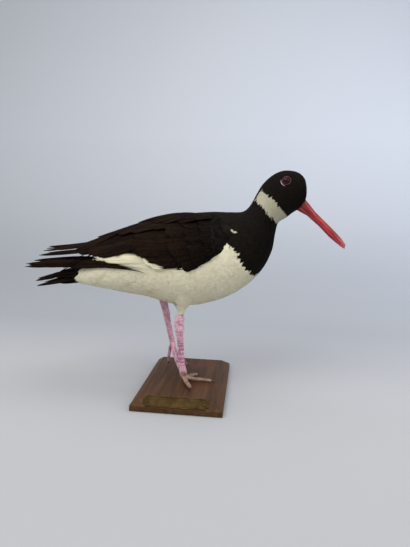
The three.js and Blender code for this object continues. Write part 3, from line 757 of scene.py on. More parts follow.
class Vanes:
    """Closed vanes, gathered for one joined mesh."""

    def __init__(self, total, cells, side=1):
        self.cells, self.lines = cells, math.ceil(total / cells)
        self.side = side
        self.points, self.faces, self.marks, self.tones = [], [], [], []
        self.vane_map, self.bake_map = [], []

    def add(self, v, points, across, long, mark, tone):
        """One vane: its stops along, its points, their mm from the shaft, its length, marks and tones."""
        rows, cols = across.shape
        number = len(self.points)
        self.points.append(points)
        self.faces.append(grid_faces(rows, cols)[:, :: self.side] + number * 2 * rows * cols)
        self.marks.append(mark)
        self.tones.append(tone)
        lengthwise = np.repeat(v[:, None], cols, 1)
        widthwise = np.repeat(VANE_ACROSS[None, :], rows, 0)
        vane = np.stack([np.repeat(v[:, None] * long, cols, 1), across], -1)
        cell = np.stack(
            [
                (number % self.cells + 0.08 + 0.84 * (widthwise * 0.5 + 0.5)) / self.cells,
                (number // self.cells + 0.06 + 0.88 * lengthwise) / self.lines,
            ],
            -1,
        )
        for kept, uv in ((self.vane_map, vane), (self.bake_map, cell)):
            kept.append(np.tile(uv.reshape(-1, 2), (2, 1)))

    def piece(self, name, *nodes, slot):
        """The joined mesh."""
        points, faces = np.vstack(self.points), np.vstack(self.faces)
        values = {"white": np.concatenate(self.marks), "tone": np.concatenate(self.tones)}
        maps = {"OFBake": np.vstack(self.bake_map), "Vane": np.vstack(self.vane_map)}
        shells(name, points, faces, MATERIALS["wing"], *nodes, values=values, maps=maps, slot=slot)


def wing_feathers(name, side):
    """The flight feathers, coverts and scapulars of one folded wing, as one joined mesh of closed vanes."""
    v, w = np.linspace(0, 1, 26), VANE_ACROSS
    vanes = Vanes(sum(row["count"] for row in WING_ROWS.values()), WING_CELLS, side)
    for kind, row in WING_ROWS.items():
        count = row["count"]
        primary = kind == "primaries"
        k = np.array(row.get("shares", np.linspace(0, 1, count)))
        root, tip = spline(row["roots"], k), spline(row["tips"], k)
        tip = tip + rng.normal(0, VANE_WANDER, (count, 2)) * (PRIMARY_WANDER if primary else 1)
        top = row.get("top", BACK_EDGE)
        a0, t0 = WING.place(root[:, 0], root[:, 1], top)
        a1, t1 = WING.place(tip[:, 0], tip[:, 1], top)
        along = a0[:, None] + (a1 - a0)[:, None] * v
        turn = t0[:, None] + (t1 - t0)[:, None] * v + row.get("bow", 0.0) * np.sin(np.pi * v)
        middle = WING.point(along, turn, np.zeros_like(along))
        near = np.linalg.norm(np.diff(middle, axis=0), axis=-1)
        spacing = np.vstack([near, near[-1:]])
        _, per_turn = WING.steps(along, turn)
        root_lift, tip_lift = row["lift"]
        for n in range(count):
            splits = rng.uniform(SPLITS_FROM, SPLITS_TO, 3)
            pointed = POINTED if primary else BLUNT
            upper_edge = vane_outline(v, pointed, splits[:1], 0.25)
            lower_edge = vane_outline(v, pointed, splits[1:], 0.3)
            half = np.minimum(row["overlap"] * spacing[n] / 2, row["widest"])
            reach = np.where(w[None, :] < 0, upper_edge[:, None], lower_edge[:, None]) * w[None, :]
            across = reach * half[:, None]
            slope = np.minimum(VANE_STEP / spacing[n], STEEPEST)
            base = root_lift + (tip_lift - root_lift) * v + row.get("arch", 0) * np.sin(np.pi * v)
            lift = base[:, None] + across * slope[:, None] + CAMBER * (1 - w[None, :] ** 2)
            lift = lift + SHAFT * (w[None, :] == 0) * (1 - 0.6 * v[:, None])
            wave = WAVE * np.sin(3 * v + rng.uniform(0, 6))[:, None] * w[None, :]
            a = np.repeat(along[n][:, None], len(w), 1)
            t = np.maximum(turn[n][:, None] + across / per_turn[n][:, None], NEAREST_TURN)
            upper = WING.point(a, t, lift + wave, side, tip_rise(side, a))
            lower = WING.point(a, t, lift + wave - vane_thickness(v, 0.6), side, tip_rise(side, a))
            both = sheet_points(upper, lower)
            ragged = rng.normal(0, 0.8)
            mark = {
                "soft": np.clip((below_edge(both) + 4) / 3, 0, 1),
                "ragged": np.clip((below_edge(both) - 0.5 + ragged) / 1.2, 0, 1),
                None: np.zeros(len(both)),
            }[row.get("white")]
            tone = np.full(across.shape, rng.uniform(0.1, 0.5))
            tone = tone + 0.25 * np.abs(reach) ** 3 + 0.1 * v[:, None] ** 4
            tone = np.clip(tone * np.interp(upper[..., 0], [-20, 40], [1.0, 0.1]), 0, 1)
            long = np.linalg.norm(middle[n, -1] - middle[n, 0])
            vanes.add(v, both, across, long, mark, np.tile(tone.ravel(), 2))
    vanes.piece(f"wing_feathers_{name}", f"wing_{name}", slot="wing_feathers")


# Lines down the fleshy wing, from its rear end to its front, in side view.
BED = [
    [(-108, 180), (-112, 164), (-108, 155)], [(-80, 191), (-88, 172), (-84, 154)],
    [(-40, 206), (-44, 178), (-40, 148)], [(-5, 214), (-4, 182), (2, 150)],
    [(26, 216), (30, 187), (26, 157)], [(46, 213), (51, 197), (47, 184)],
]


def wing_bed(name, side):
    """The fleshy wing under its feathers, as a thin closed shell."""
    steps, across = 40, 24
    lines = np.array([spline(row, np.linspace(0, 1, across)) for row in BED])
    flat = spline(lines.reshape(len(BED), -1), np.linspace(0, 1, steps)).reshape(steps, across, 2)
    a, t = WING.place(flat[..., 0], flat[..., 1], 0.97)
    i, j = np.meshgrid(np.arange(steps), np.arange(across), indexing="ij")
    border = (i == 0) | (j == 0) | (i == steps - 1) | (j == across - 1)
    upper = WING.point(a, t, np.where(border, -2.2, -0.6), side, tip_rise(side, a))
    lower = WING.point(a, t, np.where(border, -2.4, -2.6), side, tip_rise(side, a))
    both = sheet_points(upper, lower)
    faces = grid_faces(steps, across)[:, ::side]
    values = {"white": below_edge(both) > 0, "tone": np.full(len(both), 0.4)}
    maps = {"OFBake": np.tile(np.stack([i / steps, j / across], -1).reshape(-1, 2), (2, 1))}
    finish = {"values": values, "maps": maps, "slot": "wing_feathers"}
    shells(f"wing_bed_{name}", both, faces, MATERIALS["plumage"], **finish)


# Rows of tail feathers: pairs, root and tip of the middle pair (x, z), half spread at root and tip, how far
# each pair lies below the one before at root and tip, and half width at root and tip, in mm.
TAIL_ROWS = [
    (6, (-116, 151), (-192, 128.5), 5, 16, (3.2, 1.3), (3.8, 4.4)),
    (4, (-112, 151), (-158, 140), 5, 9, (3.0, 1.2), (3.4, 4.6)),
    (4, (-116, 138), (-164, 130), 5, 9, (2.4, 1.2), (3.4, 4.6)),
]
TAIL_LENGTH = 75  # mm of barbs in the pattern along a tail feather


def tail_feather(vanes, row, side, k):
    """One feather of a tail row, the k-th from the middle."""
    pairs, root, tip, root_spread, tip_spread, (root_drop, tip_drop), (narrow, broad) = row
    v, w = np.linspace(0, 1, 24), VANE_ACROSS
    spread = (k + 0.5) / pairs
    start = np.array([root[0], BIRD_Y + side * root_spread * spread, root[1]])
    end = np.array([tip[0] + 6 * spread**2, BIRD_Y + side * tip_spread * spread, tip[1]])
    end = end + rng.normal(0, 1.0, 3) * (1, 0.6, 0.8)
    wide = (narrow + (broad - narrow) * v) * vane_outline(v, POINTED, rng.uniform(0.4, 0.97, 3), 0.3)
    across = wide[:, None] * w[None, :]
    drop = k * (root_drop * (1 - v) + tip_drop * v) + (2.2 * v**2 if k >= pairs / 2 else 0 * v)
    up = 0.6 * (1 - w[None, :] ** 2) - drop[:, None] - side * across * (0.75 - 0.55 * v[:, None])
    upper = np.repeat((start + (end - start) * v[:, None])[:, None, :], len(w), 1)
    upper[..., 1] += across
    lower = upper.copy()
    upper[..., 2] += up
    lower[..., 2] += up - vane_thickness(v, 0.5)
    both = sheet_points(upper, lower)
    tone = np.full(len(both), rng.uniform(0.1, 0.4))
    vanes.add(v, both, across, TAIL_LENGTH, np.zeros(len(both)), tone)


def tail_feathers():
    """The closed tail and its coverts, as one joined mesh of closed vanes."""
    vanes = Vanes(2 * sum(row[0] for row in TAIL_ROWS), TAIL_CELLS)
    for row in TAIL_ROWS:
        for side in SIDES.values():
            for k in range(row[0]):
                tail_feather(vanes, row, side, k)
    vanes.piece("tail_feathers", slot="tail_feathers")


# Skin and body feathers

SKIN_VOXEL = 0.0012
RUMP_CUT = -0.1455  # the tail's flesh ends here, under its feathers
FLESH = ("torso", "neck", "head", "tail", "thigh_right")


def body_skin():
    """One skin from the CAD's trunk, neck, head, rump and thigh, merged so that no seam shows."""
    obj = copied(*FLESH)
    cut = {"plane_co": (RUMP_CUT, 0, 0), "plane_no": (-1, 0, 0), "clear_outer": True, "use_fill": True}
    edit(obj, (bpy.ops.mesh.bisect, cut))
    modify(obj, "REMESH", mode="VOXEL", voxel_size=SKIN_VOXEL)
    modify(obj, "SMOOTH", factor=0.5, iterations=6)
    modify(obj, "DISPLACE", strength=-settings().plumage.skin_depth, mid_level=0.0)
    x, y, z = points_of(obj).T
    still = np.zeros_like(x)
    give_values(obj.data, {"white": whiteness(x, y, z, still), "tone": still + 0.35})
    finish_piece(obj, "body_skin", MATERIALS["plumage"], *FLESH, slot="belly_feathers")


# Places in side view: what the wing covers, and where the shoulder feathers grow.
UNDER_WING = [
    (36, 205), (38, 186), (28, 168), (10, 160), (-20, 160), (-60, 164), (-100, 164), (-112, 170),
    (-100, 180), (-60, 194), (-20, 204), (20, 209),
]
SHOULDER = [(54, 200), (53, 190), (46, 178), (41, 172), (38, 180), (38, 196), (36, 213), (50, 214)]
MOUTH = [(122, 226.6), (131, 223.2), (140, 215.8)]  # the line where the two halves of the bill meet
FLECKS = [((46, 210), (57, 200), 0.75), ((57, 198.6), (68, 196.6), 1.0)]  # white, with their half width
# Painted shade: small feathers along these creases of the flank are drawn darker.
SHADED_CREASES = [((-103, 127), (-86, 144)), ((-70, 124), (-52, 134)), ((-40, 118), (-20, 126))]  # of the flank
SHADE_CREASE_WIDTH = 1.8
MIDDLE_STRIP = 8  # mm each way from the bird's middle plane
FLECK_WHITE = 0.6
BODY_SUNK, SHOULDER_SUNK = -0.55, -1.0  # mm from the surface to the feathers' roots
SHOULDER_GAP = 2.8

EYE_AT = (110.9, 253.3)
EYE_CLEAR = 5.6  # no feather grows nearer to the eye's middle

GAP_AT, GAPS = [0, 0.3, 0.5, 0.62, 0.75, 1], [2.6, 2.9, 2.6, 2.0, 1.25, 0.85]  # mm apart along the body

# Pieces of the body's coat: from and up to how far along, slot and whether it lies over the thigh.
BODY_COATS = {
    "coat_head": (0.76, 1.0, "head_feathers", False),
    "coat_neck": (0.6, 0.76, "head_feathers", False),
    "coat_front": (0.42, 0.6, "belly_feathers", True),
    "coat_middle": (0.2, 0.42, "belly_feathers", True),
    "coat_rear": (-1.0, 0.2, "belly_feathers", False),
}


def body_gap(along):
    """How far apart the body's small feathers grow, in mm."""
    return np.interp(along, GAP_AT, GAPS)


def bare(x, y, z):
    """Where no small feather grows: under the wing, and at the eye, the mouth and the bill."""
    aside = np.abs(y - BIRD_Y)
    mouth = below(MOUTH, x, z)
    found = in_polygon(x, z, UNDER_WING) & (aside > MIDDLE_STRIP)
    found |= np.hypot(x - EYE_AT[0], z - EYE_AT[1]) < EYE_CLEAR
    found |= (x > 124) & (mouth < 0.8) & (mouth > -0.6)
    found |= (x > 131.3) & (z < 236 + 0.5 * (133 - x)) & (aside < MIDDLE_STRIP)
    return found


def body_coat():
    """The small feathers of trunk, neck and head, in five pieces from the face to the rump."""
    skin = skin_of(bpy.data.objects["body_skin"])
    places = scatter_places(BODY, lambda share: float(body_gap(share)), 0.004, 0.985)
    along, turn, side = places
    x, y, z = BODY.point(along, turn, np.zeros_like(along), side).T
    keep = ~bare(x, y, z)
    along, turn, side, x, y, z = (a[keep] for a in (*places, x, y, z))
    count = len(along)
    gap = body_gap(along)
    length = gap * rng.normal(settings().plumage.tuft_length, 0.4, count)
    width = gap * rng.normal(TUFT_WIDTH, 0.18, count)
    near_bill = np.clip((x - 118) / 14, 0, 1)
    length *= 1 - 0.45 * near_bill
    width *= 1 - 0.35 * near_bill
    lift = rng.normal(0.16, 0.05, count)
    mark = whiteness(x, y, z, rng.normal(0, 1.1, count) * np.clip(gap / 2, 0.5, 1.4))
    tone = rng.normal(0.55, 0.1, count)
    for start, end, reach in FLECKS:
        near = line_distance(x, z, *start, *end) < reach
        near &= (rng.random(count) < 0.6) & (np.abs(y - BIRD_Y) > MIDDLE_STRIP)
        mark = np.where(near, FLECK_WHITE, mark)
    # Painted shade along the flank's creases.
    for start, end in SHADED_CREASES:
        tone -= 0.9 * np.exp(-((line_distance(x, z, *start, *end) / SHADE_CREASE_WIDTH) ** 2))
    tone = np.clip(tone, 0, 1)
    skew = rng.normal(0, 0.1, count)
    each = {"along": along, "turn": turn, "side": side, "length": length, "width": width}
    each |= {"lift": lift, "mark": mark, "tone": tone, "skew": skew}
    for name, (start, stop, slot, over_thigh) in BODY_COATS.items():
        chosen = (along > start) & (along <= stop)
        part = {key: data[chosen] for key, data in each.items()}
        coat(name, BODY, slot, BODY_SUNK, skin=skin if over_thigh else None, **part)


def shoulder_coat():
    """The larger feathers of the shoulders, which lie over the wing's front edge."""
    along, turn, side = scatter_places(WING, lambda share: SHOULDER_GAP, 0.62, 0.97, 0.2, 1.7)
    x, _, z = WING.point(along, turn, np.zeros_like(along), side).T
    keep = in_polygon(x, z, SHOULDER)
    count = int(keep.sum())
    lift = rng.normal(2.4, 0.25, count)
    coat(
        "coat_shoulders", WING, "wing_feathers", SHOULDER_SUNK, along=along[keep], turn=turn[keep],
        side=side[keep], lift=lift, length=rng.normal(10, 0.8, count), width=rng.normal(6, 0.5, count),
        mark=np.zeros(count), tone=np.clip(rng.normal(0.5, 0.2, count), 0, 1),
        skew=rng.normal(0, 0.12, count),
    )


# Middle and radius of the thigh at stops down it, its length and its rings of feathers: all, first and last.
THIGH = np.array([(-1, -15, 124, 15), (-2.6, -17, 112, 9.5), (-4.2, -18, 103, 5.4), (-5, -18, 97, 3.5)])
THIGH_LENGTH = 28
THIGH_RINGS, THIGH_FIRST, THIGH_LAST = 25, 11, 24
UPPER_RINGS, UPPER_COUNT, LOWER_COUNT = 20, 26, 20  # feathers in a ring above and below this ring
GARTER = {23: 0.7, 24: 0.0}  # the last two rings are drawn darker: grey, then black


def thigh_coat():
    """Small feathers down the feathered part of the right leg, as one joined mesh."""
    radii = spline(THIGH, np.linspace(0, 1, THIGH_RINGS + 1))[:, 3]
    x, y = TUFT_SHAPE.T
    size = len(TUFT_SHAPE)
    points, marks, tones, uvs, normals = [], [], [], [], []
    for r in range(THIGH_FIRST, THIGH_LAST + 1):
        ring = UPPER_COUNT if r < UPPER_RINGS else LOWER_COUNT
        share = r / THIGH_RINGS
        for k in range(ring):
            angle = 2 * math.pi * (k + 0.5 * (r % 2) + rng.normal(0, 0.12)) / ring
            length = rng.normal(6.0 if share < 0.8 else 3.2, 0.4)
            width = 2 * math.pi * radii[r] / ring * TUFT_WIDTH
            s = np.clip(share + x * length / THIGH_LENGTH, 0, 1.03)
            centre = spline(THIGH, np.minimum(s, 1))
            centre[:, 2] -= np.maximum(s - 1, 0) * THIGH_LENGTH
            radius = centre[:, 3] + 0.2 * x - 0.6 * (1 - x) + TUFT_THICK
            a = angle + y * width / centre[:, 3]
            out = np.stack([np.cos(a), np.sin(a)], -1)
            down = np.full((size, 1), -0.25 - 1.9 * max(0, 0.7 - share))
            normals.append(np.hstack([out, down]) + rng.normal(0, RUFFLE, 3))
            points.append(np.hstack([centre[:, :2] + out * radius[:, None], centre[:, 2:3]]))
            marks.append(np.full(size, GARTER.get(r, 1.0)))
            tones.append(np.full(size, rng.uniform(0.3, 0.8)))
            cell = np.array([angle % (2 * math.pi) / 6.4, share])
            uvs.append(cell[None] + (TUFT_SHAPE - (0.5, 0)) * TUFT_CELL)
    faces = np.vstack([tuft_faces() + number * size for number in range(len(points))])
    values = {"white": np.concatenate(marks), "tone": np.concatenate(tones)}
    finish = {"values": values, "maps": {"OFBake": np.vstack(uvs)}, "slot": "belly_feathers"}
    obj = shells("coat_thigh", np.vstack(points), faces, MATERIALS["plumage"], **finish)
    soften(obj, np.vstack(normals))


# Eyes

EYE_RADIUS = 4.9
EYE_OUT = 11.2  # mm from the bird's middle plane to the eye's middle
LID_OUT = 3.3  # mm from the eye's middle out to its ring
LID_RADIUS, LID_THICK = 4.6, 0.55
LID_STRETCH = (1.0, 0.94, 1.25)
LID_TILT = 0.05  # the ring leans out towards the bill and the cheek, as the face does
UPRIGHT = (math.pi / 2, 0, 0)  # turns a primitive's axis to the bird's side


def glass_eye():
    """Blown glass painted from behind: a wide black pupil, a thin dark red iris and a clear wet surface."""
    iris = settings().bare.iris
    gloss = {"Specular_IOR_Level": 0.12, "Coat_Weight": 0.35}
    glass, tree, shader = base_material("Blown glass eye", "3a0c12", 0.04, **gloss)
    where = add(tree, "TexCoord").outputs["Object"]
    split = add(tree, "SeparateXYZ", {"Vector": where}).outputs
    dx = add(tree, "Math", {0: split["X"], 1: -EYE_AT[0] * MM}, operation="ADD")
    dz = add(tree, "Math", {0: split["Z"], 1: -EYE_AT[1] * MM}, operation="ADD")
    pair = add(tree, "CombineXYZ", {"X": dx, "Y": dz})
    away = add(tree, "VectorMath", {0: pair}, operation="LENGTH")
    share = add(tree, "Math", {0: away, 1: 1000 / EYE_RADIUS}, operation="MULTIPLY")
    rings = [(0.0, "020101"), (0.66, "030101"), (0.71, iris), (0.9, iris), (1.0, "24060c")]
    feed(tree, shader, {"Base Color": add(tree, "ValToRGB", {"Fac": share}, rings)})
    return glass


def eyes():
    """The glass eyes, the rings of dried skin round them and the white crescents below and behind them."""
    glass = glass_eye()
    # Dried skin with worn paint: a dull ring that shows the rim of the glass.
    skin, _, _ = base_material("Dry eyelid skin", settings().bare.eyelid, 0.5)
    ball = {"segments": 40, "ring_count": 24, "radius": EYE_RADIUS * MM, "rotation": UPRIGHT}
    lid = {"major_segments": 48, "minor_segments": 12, "rotation": UPRIGHT}
    lid |= {"major_radius": LID_RADIUS * MM, "minor_radius": LID_THICK * MM}
    for name, side in SIDES.items():
        at = Vector((EYE_AT[0], BIRD_Y + side * EYE_OUT, EYE_AT[1])) * MM
        eye = primitive(bpy.ops.mesh.primitive_uv_sphere_add, location=at, **ball)
        finish_piece(eye, f"eye_{name}", glass, f"eye_{name}", slot="eye")
        at.y = (BIRD_Y + side * (EYE_OUT + LID_OUT)) * MM
        ring = primitive(bpy.ops.mesh.primitive_torus_add, LID_STRETCH, location=at, **lid)
        for vertex in ring.data.vertices:
            vertex.co.y += side * LID_TILT * (vertex.co.x - at.x - vertex.co.z + at.z)
        modify(ring, "SUBSURF", levels=1, render_levels=1)
        finish_piece(ring, f"eyelid_{name}", skin, slot="eye")
        eye_crescent(name, side)


CRESCENT_REACH = 6.1  # mm from the eye's middle
CRESCENT_THICK = 0.36


def eye_crescent(name, side):
    """The thin white crescent of feathers below and behind the eye, as one tapered closed arc."""
    steps, around = 16, 8
    turn = np.radians(np.linspace(168, 262, steps))
    thick = CRESCENT_THICK * np.sin(np.linspace(0.08, np.pi - 0.08, steps))
    a = np.linspace(0, 2 * np.pi, around, endpoint=False)
    reach = CRESCENT_REACH + thick[:, None] * np.cos(a)
    x = EYE_AT[0] + reach * np.cos(turn)[:, None]
    z = EYE_AT[1] + reach * np.sin(turn)[:, None]
    points = BODY.point(*BODY.place(x, z), 0.1 + 0.8 * thick[:, None] * np.sin(a), side).reshape(-1, 3)
    i, j = np.meshgrid(np.arange(steps - 1), np.arange(around), indexing="ij")
    first, after = (i * around + j).ravel(), (i * around + (j + 1) % around).ravel()
    faces = np.stack([first, after, after + around, first + around], -1)
    ends = np.array([(0, 1, 2, 3), (0, 3, 4, 7), (4, 5, 6, 7)])
    faces = np.vstack([faces, ends[:, ::-1], ends + (steps - 1) * around])
    values = {"white": np.full(len(points), 0.8), "tone": np.full(len(points), 0.5)}
    name = f"eye_crescent_{name}"
    shells(name, points, faces, MATERIALS["plumage"], values=values, slot="head_feathers")


# Bill

BILL_SLOPE = math.radians(-43)  # how far the bill points down
BILL_ROOT = (134, 231)  # top of the bill's end at the face, x and z
BILL_SLANT = 0.59  # how far the end runs back for each mm down
BILL_SEAT = 4.0  # mm that the bill's end reaches into the face
BILL_LENGTH = 71.0
BILL_VOXEL = 0.00035


def seat_bill(obj, part):
    """Runs the bill's end into the face's feathers and closes the lower half's tip against the upper one."""
    points = points_of(obj)
    ahead = np.array([math.cos(BILL_SLOPE), 0, math.sin(BILL_SLOPE)])
    up = np.array([-ahead[2], 0, ahead[0]])
    from_root = points - np.array([BILL_ROOT[0], BIRD_Y, BILL_ROOT[1]])
    along = from_root @ ahead
    from_end = along - BILL_SLANT * (from_root @ up)
    points -= (BILL_SEAT * np.clip(1 - from_end / 6, 0, 1))[:, None] * ahead
    if part == "lower":
        points += (0.5 * np.clip(along / BILL_LENGTH * 4 - 3, 0, 1))[:, None] * up
    obj.data.vertices.foreach_set("co", (points * MM).ravel())
    obj.data.update()


def bill_horn():
    """Horn under old oil paint: a satin crimson, darker at its base and rubbed pink at the tip."""
    tint = settings().bare
    horn, tree, shader = base_material("Painted bill horn", tint.bill_middle, 0.4)
    where = add(tree, "TexCoord").outputs["Object"]
    x = add(tree, "SeparateXYZ", {"Vector": where}).outputs["X"]
    share = add(tree, "MapRange", {"Value": x, "From Min": 0.122, "From Max": 0.184})
    paint = [(0.0, tint.bill_base), (0.34, tint.bill_middle), (0.75, tint.bill_middle), (1.0, tint.bill_tip)]
    hue = add(tree, "ValToRGB", {"Fac": share}, paint)
    # Brush marks along the bill, drawn about 0.8 mm wide so that they show.
    turned = add(tree, "Mapping", {"Vector": where, "Rotation": (0.0, BILL_SLOPE, 0.0)})
    lie = add(tree, "Mapping", {"Vector": turned, "Scale": (0.1, 1.0, 1.0)})
    brush = add(tree, "TexNoise", {"Vector": lie, "Scale": 620.0, "Detail": 4.0, "Roughness": 0.65})
    streaks = add(tree, "ValToRGB", {"Fac": brush}, [(0.42, 0.0), (0.6, 1.0)])
    colours = {"Factor": streaks, "A": hue, "B": linear("ad6f70")}
    worn = add(tree, "Mix", colours, data_type="RGBA", blend_type="MULTIPLY")
    dress(tree, shader, worn, brush, 0.2, 0.0003)
    return horn


def bill():
    """Both halves of the bill."""
    horn = bill_horn()
    for part in ("upper", "lower"):
        obj = copied(f"bill_{part}")
        modify(obj, "REMESH", mode="VOXEL", voxel_size=BILL_VOXEL)
        modify(obj, "SMOOTH", factor=0.5, iterations=8)
        seat_bill(obj, part)
        finish_piece(obj, f"bill_{part}", horn, f"bill_{part}", slot="bill")


# Legs and feet

# Lines down the middle of each shank, with the radius, and along each toe, as in the solids.
LEGS = {
    "right": dict(
        shank=[
            (-5, -18, 96.7, 3), (-6.3, -18, 91.5, 4), (-6.8, -18, 84, 3.7), (-6.4, -18, 77, 4),
            (-5.6, -18, 70, 3), (-4.6, -18, 58, 3), (-3, -17.6, 36, 3), (-1.4, -17.2, 27, 3.5),
            (-0.4, -17, 19.6, 3.7),
        ],
        outer=[(0, -18, 19.6), (4, -26, 17.1), (7.8, -34, 16.9), (11.2, -41.2, 16.3)],
        middle=[(0, -17, 19.6), (11, -16.9, 17.2), (22, -16.8, 16.9), (33, -16.7, 16.3)],
        inner=[(0, -16, 19.6), (5, -9.6, 17.1), (9.6, -4, 16.9), (13.4, 0.6, 16.3)],
    ),
    "left": dict(
        shank=[
            (-37.4, 26, 112, 4), (-35.3, 26.6, 102, 4.3), (-32, 27, 90, 3.7), (-29, 27, 74, 3),
            (-25, 27.6, 56, 3), (-22.8, 28, 46, 3.3),
        ],
        outer=[(-23, 28, 47.5), (-26.5, 30, 38), (-28.3, 32, 28), (-28.8, 32.8, 19.6)],
        middle=[(-22.5, 28, 47.5), (-19.6, 28.6, 36), (-12.5, 29.4, 25), (-3.4, 29.4, 17.6)],
        inner=[(-22.5, 27, 47.5), (-19.8, 20.5, 38), (-15, 14.5, 27.5), (-10, 9.5, 18.6)],
    ),
}
TOES = ("outer", "middle", "inner")
TOE_RADIUS = 2.8
LEG_VOXEL = 0.00045
SHANK_ROW, TOE_ROW = 2.1, 1.9  # mm from one row of plates to the next
HOCK_LOW, HOCK_HIGH = 76, 94  # heights of the ankle joint, where larger knobs grow
PLATE_SIZE, PLATE_WIDTH = 1.3, 2.0  # a plate's reach from its middle, and the room for one round the shank
KNOB_SIZES, KNOB_HEIGHT = (1.5, 2.1), 3.4  # a knob's reach, and its height over a plate's
PLATE_CORNERS = 6


def limb_point(path, share):
    """Centre, radius, two directions across a limb and the one along it, at a share of its length."""
    p = spline(path, share)
    ahead = unit(spline(path, min(share + 0.01, 1))[:3] - spline(path, max(share - 0.01, 0))[:3])
    guide = np.array([1.0, 0, 0]) if abs(ahead[2]) > 0.9 else np.array([0, 0, 1.0])
    across = unit(np.cross(guide, ahead))
    return p[:3], p[3], across, np.cross(ahead, across), ahead


def limb_rows(path, step):
    """How many rows of plates fit along a limb."""
    return int(np.linalg.norm(np.diff(path[:, :3], axis=0), axis=1).sum() / step)


def plate(skin, near, ahead, wide, long, high):
    """Points of one flat plate on the skin next to a place: its foot, its top and the top's middle."""
    found, normal, _, _ = skin.find_nearest(Vector(near) * MM)
    centre, out = np.array(found) / MM, np.array(normal)
    ahead = unit(ahead - out * np.dot(out, ahead))
    across = np.cross(out, ahead)
    turns = np.linspace(0, 2 * math.pi, PLATE_CORNERS, endpoint=False) + 0.5
    rim = [across * math.cos(a) * wide + ahead * math.sin(a) * long for a in turns]
    foot = [centre + corner - out * 0.3 for corner in rim]
    top = [centre + corner * 0.74 + out * high for corner in rim]
    return np.array([*foot, *top, centre + out * high * 1.3])


def plate_faces():
    """Triangles of one plate: its foot, its sides and its top."""
    faces = [(0, j + 1, j) for j in range(1, PLATE_CORNERS - 1)]
    for j in range(PLATE_CORNERS):
        k = (j + 1) % PLATE_CORNERS
        top_j, top_k = PLATE_CORNERS + j, PLATE_CORNERS + k
        faces += [(j, k, top_k), (j, top_k, top_j), (top_j, top_k, 2 * PLATE_CORNERS)]
    return np.array(faces)


def scutes(side, leg, material):
    """Flat horny plates over the shank and the tops of the toes, on the leg's skin, as one joined mesh."""
    high = settings().bare.scale_height / MM
    skin = skin_of(leg)
    plates = []
    path = np.array(LEGS[side]["shank"], float)
    rows = limb_rows(path, SHANK_ROW)
    for r in range(1, rows):
        c, radius, across, up, ahead = limb_point(path, r / rows)
        n = max(8, int(2 * math.pi * radius / PLATE_WIDTH))
        for k in range(n):
            a = 2 * math.pi * (k + 0.5 * (r % 2)) / n
            near = c + (across * math.cos(a) + up * math.sin(a)) * 2 * radius
            plates.append(plate(skin, near, ahead, PLATE_SIZE, PLATE_SIZE, high))
            if HOCK_LOW < c[2] < HOCK_HIGH and rng.random() < 0.3:
                knob = rng.uniform(*KNOB_SIZES)
                plates.append(plate(skin, near, ahead, knob, knob, KNOB_HEIGHT * high))
    for toe in TOES:
        path = np.array([(*p, TOE_RADIUS) for p in LEGS[side][toe]], float)
        rows = limb_rows(path, TOE_ROW)
        for r in range(1, rows + 1):
            c, radius, across, up, ahead = limb_point(path, r / (rows + 0.5))
            top = up if up[2] > 0 or abs(ahead[2]) > 0.9 else -up
            for a, wide in ((0.0, 1.5), (1.1, 1.1), (-1.1, 1.1)):
                near = c + (top * math.cos(a) + across * math.sin(a)) * 2 * radius
                plates.append(plate(skin, near, ahead, wide, 1.05, high))
    faces = np.vstack([plate_faces() + number * len(plates[0]) for number in range(len(plates))])
    shells(f"scutes_{side}", np.vstack(plates), faces, material, slot="leg", smooth=False)


def leg_paint(name, skin, roughness):
    """Painted leg skin, bare and tan along the toes, with painted shade darkening its top under the belly;
    the noise is the unevenness of brushed paint.
    """
    tint = settings().bare
    material, tree, shader = base_material(name, skin, roughness)
    where = add(tree, "TexCoord").outputs["Object"]
    z = add(tree, "SeparateXYZ", {"Vector": where}).outputs["Z"]
    brush = add(tree, "TexNoise", {"Vector": where, "Scale": 180.0, "Detail": 4.0, "Roughness": 0.6})
    push = add(tree, "Math", {0: brush, 1: 0.02}, operation="MULTIPLY")
    level = add(tree, "Math", {0: z, 1: push}, operation="ADD")
    height = add(tree, "MapRange", {"Value": level, "From Min": 0.0, "From Max": 0.13})
    # Painted shade: the last stop darkens the top of the leg, where it goes under the belly.
    bands = [(0.0, tint.toes), (0.235, tint.toes), (0.3, skin), (0.9, skin), (0.98, "8b5a6c")]
    hue = add(tree, "ValToRGB", {"Fac": height}, bands)
    patchy = add(tree, "ValToRGB", {"Fac": brush}, [(0.38, 0.62), (0.56, 1.0)])
    colours = {"Factor": 1.0, "A": hue, "B": patchy}
    worn = add(tree, "Mix", colours, data_type="RGBA", blend_type="MULTIPLY")
    # The net of fine scales between the plates, about 1.1 mm across.
    net = add(tree, "TexVoronoi", {"Vector": where, "Scale": 900.0}, feature="DISTANCE_TO_EDGE")
    dress(tree, shader, worn, net, 0.4, 0.0003)
    return material


def legs():
    """The shanks and toes with their scales."""
    tint = settings().bare
    # Dried skin in the grooves: matt, and drawn darker than the scales as painted shade in the grooves.
    skin = leg_paint("Painted leg skin", tint.leg_skin_shaded, 0.5)
    # Horny plates under thick paint: drawn paler than the grooves as painted light on the plates, and glossy
    # enough that each one catches the light.
    scales = leg_paint("Painted leg scales", tint.leg_scales_lit, 0.26)
    for side in SIDES:
        obj = copied(f"leg_{side}", f"foot_{side}")
        modify(obj, "DISPLACE", strength=0.0002, mid_level=0.0)
        modify(obj, "REMESH", mode="VOXEL", voxel_size=LEG_VOXEL)
        modify(obj, "SMOOTH", factor=0.5, iterations=8)
        finish_piece(obj, f"leg_{side}", skin, f"leg_{side}", f"foot_{side}", slot="leg")
        scutes(side, obj, scales)


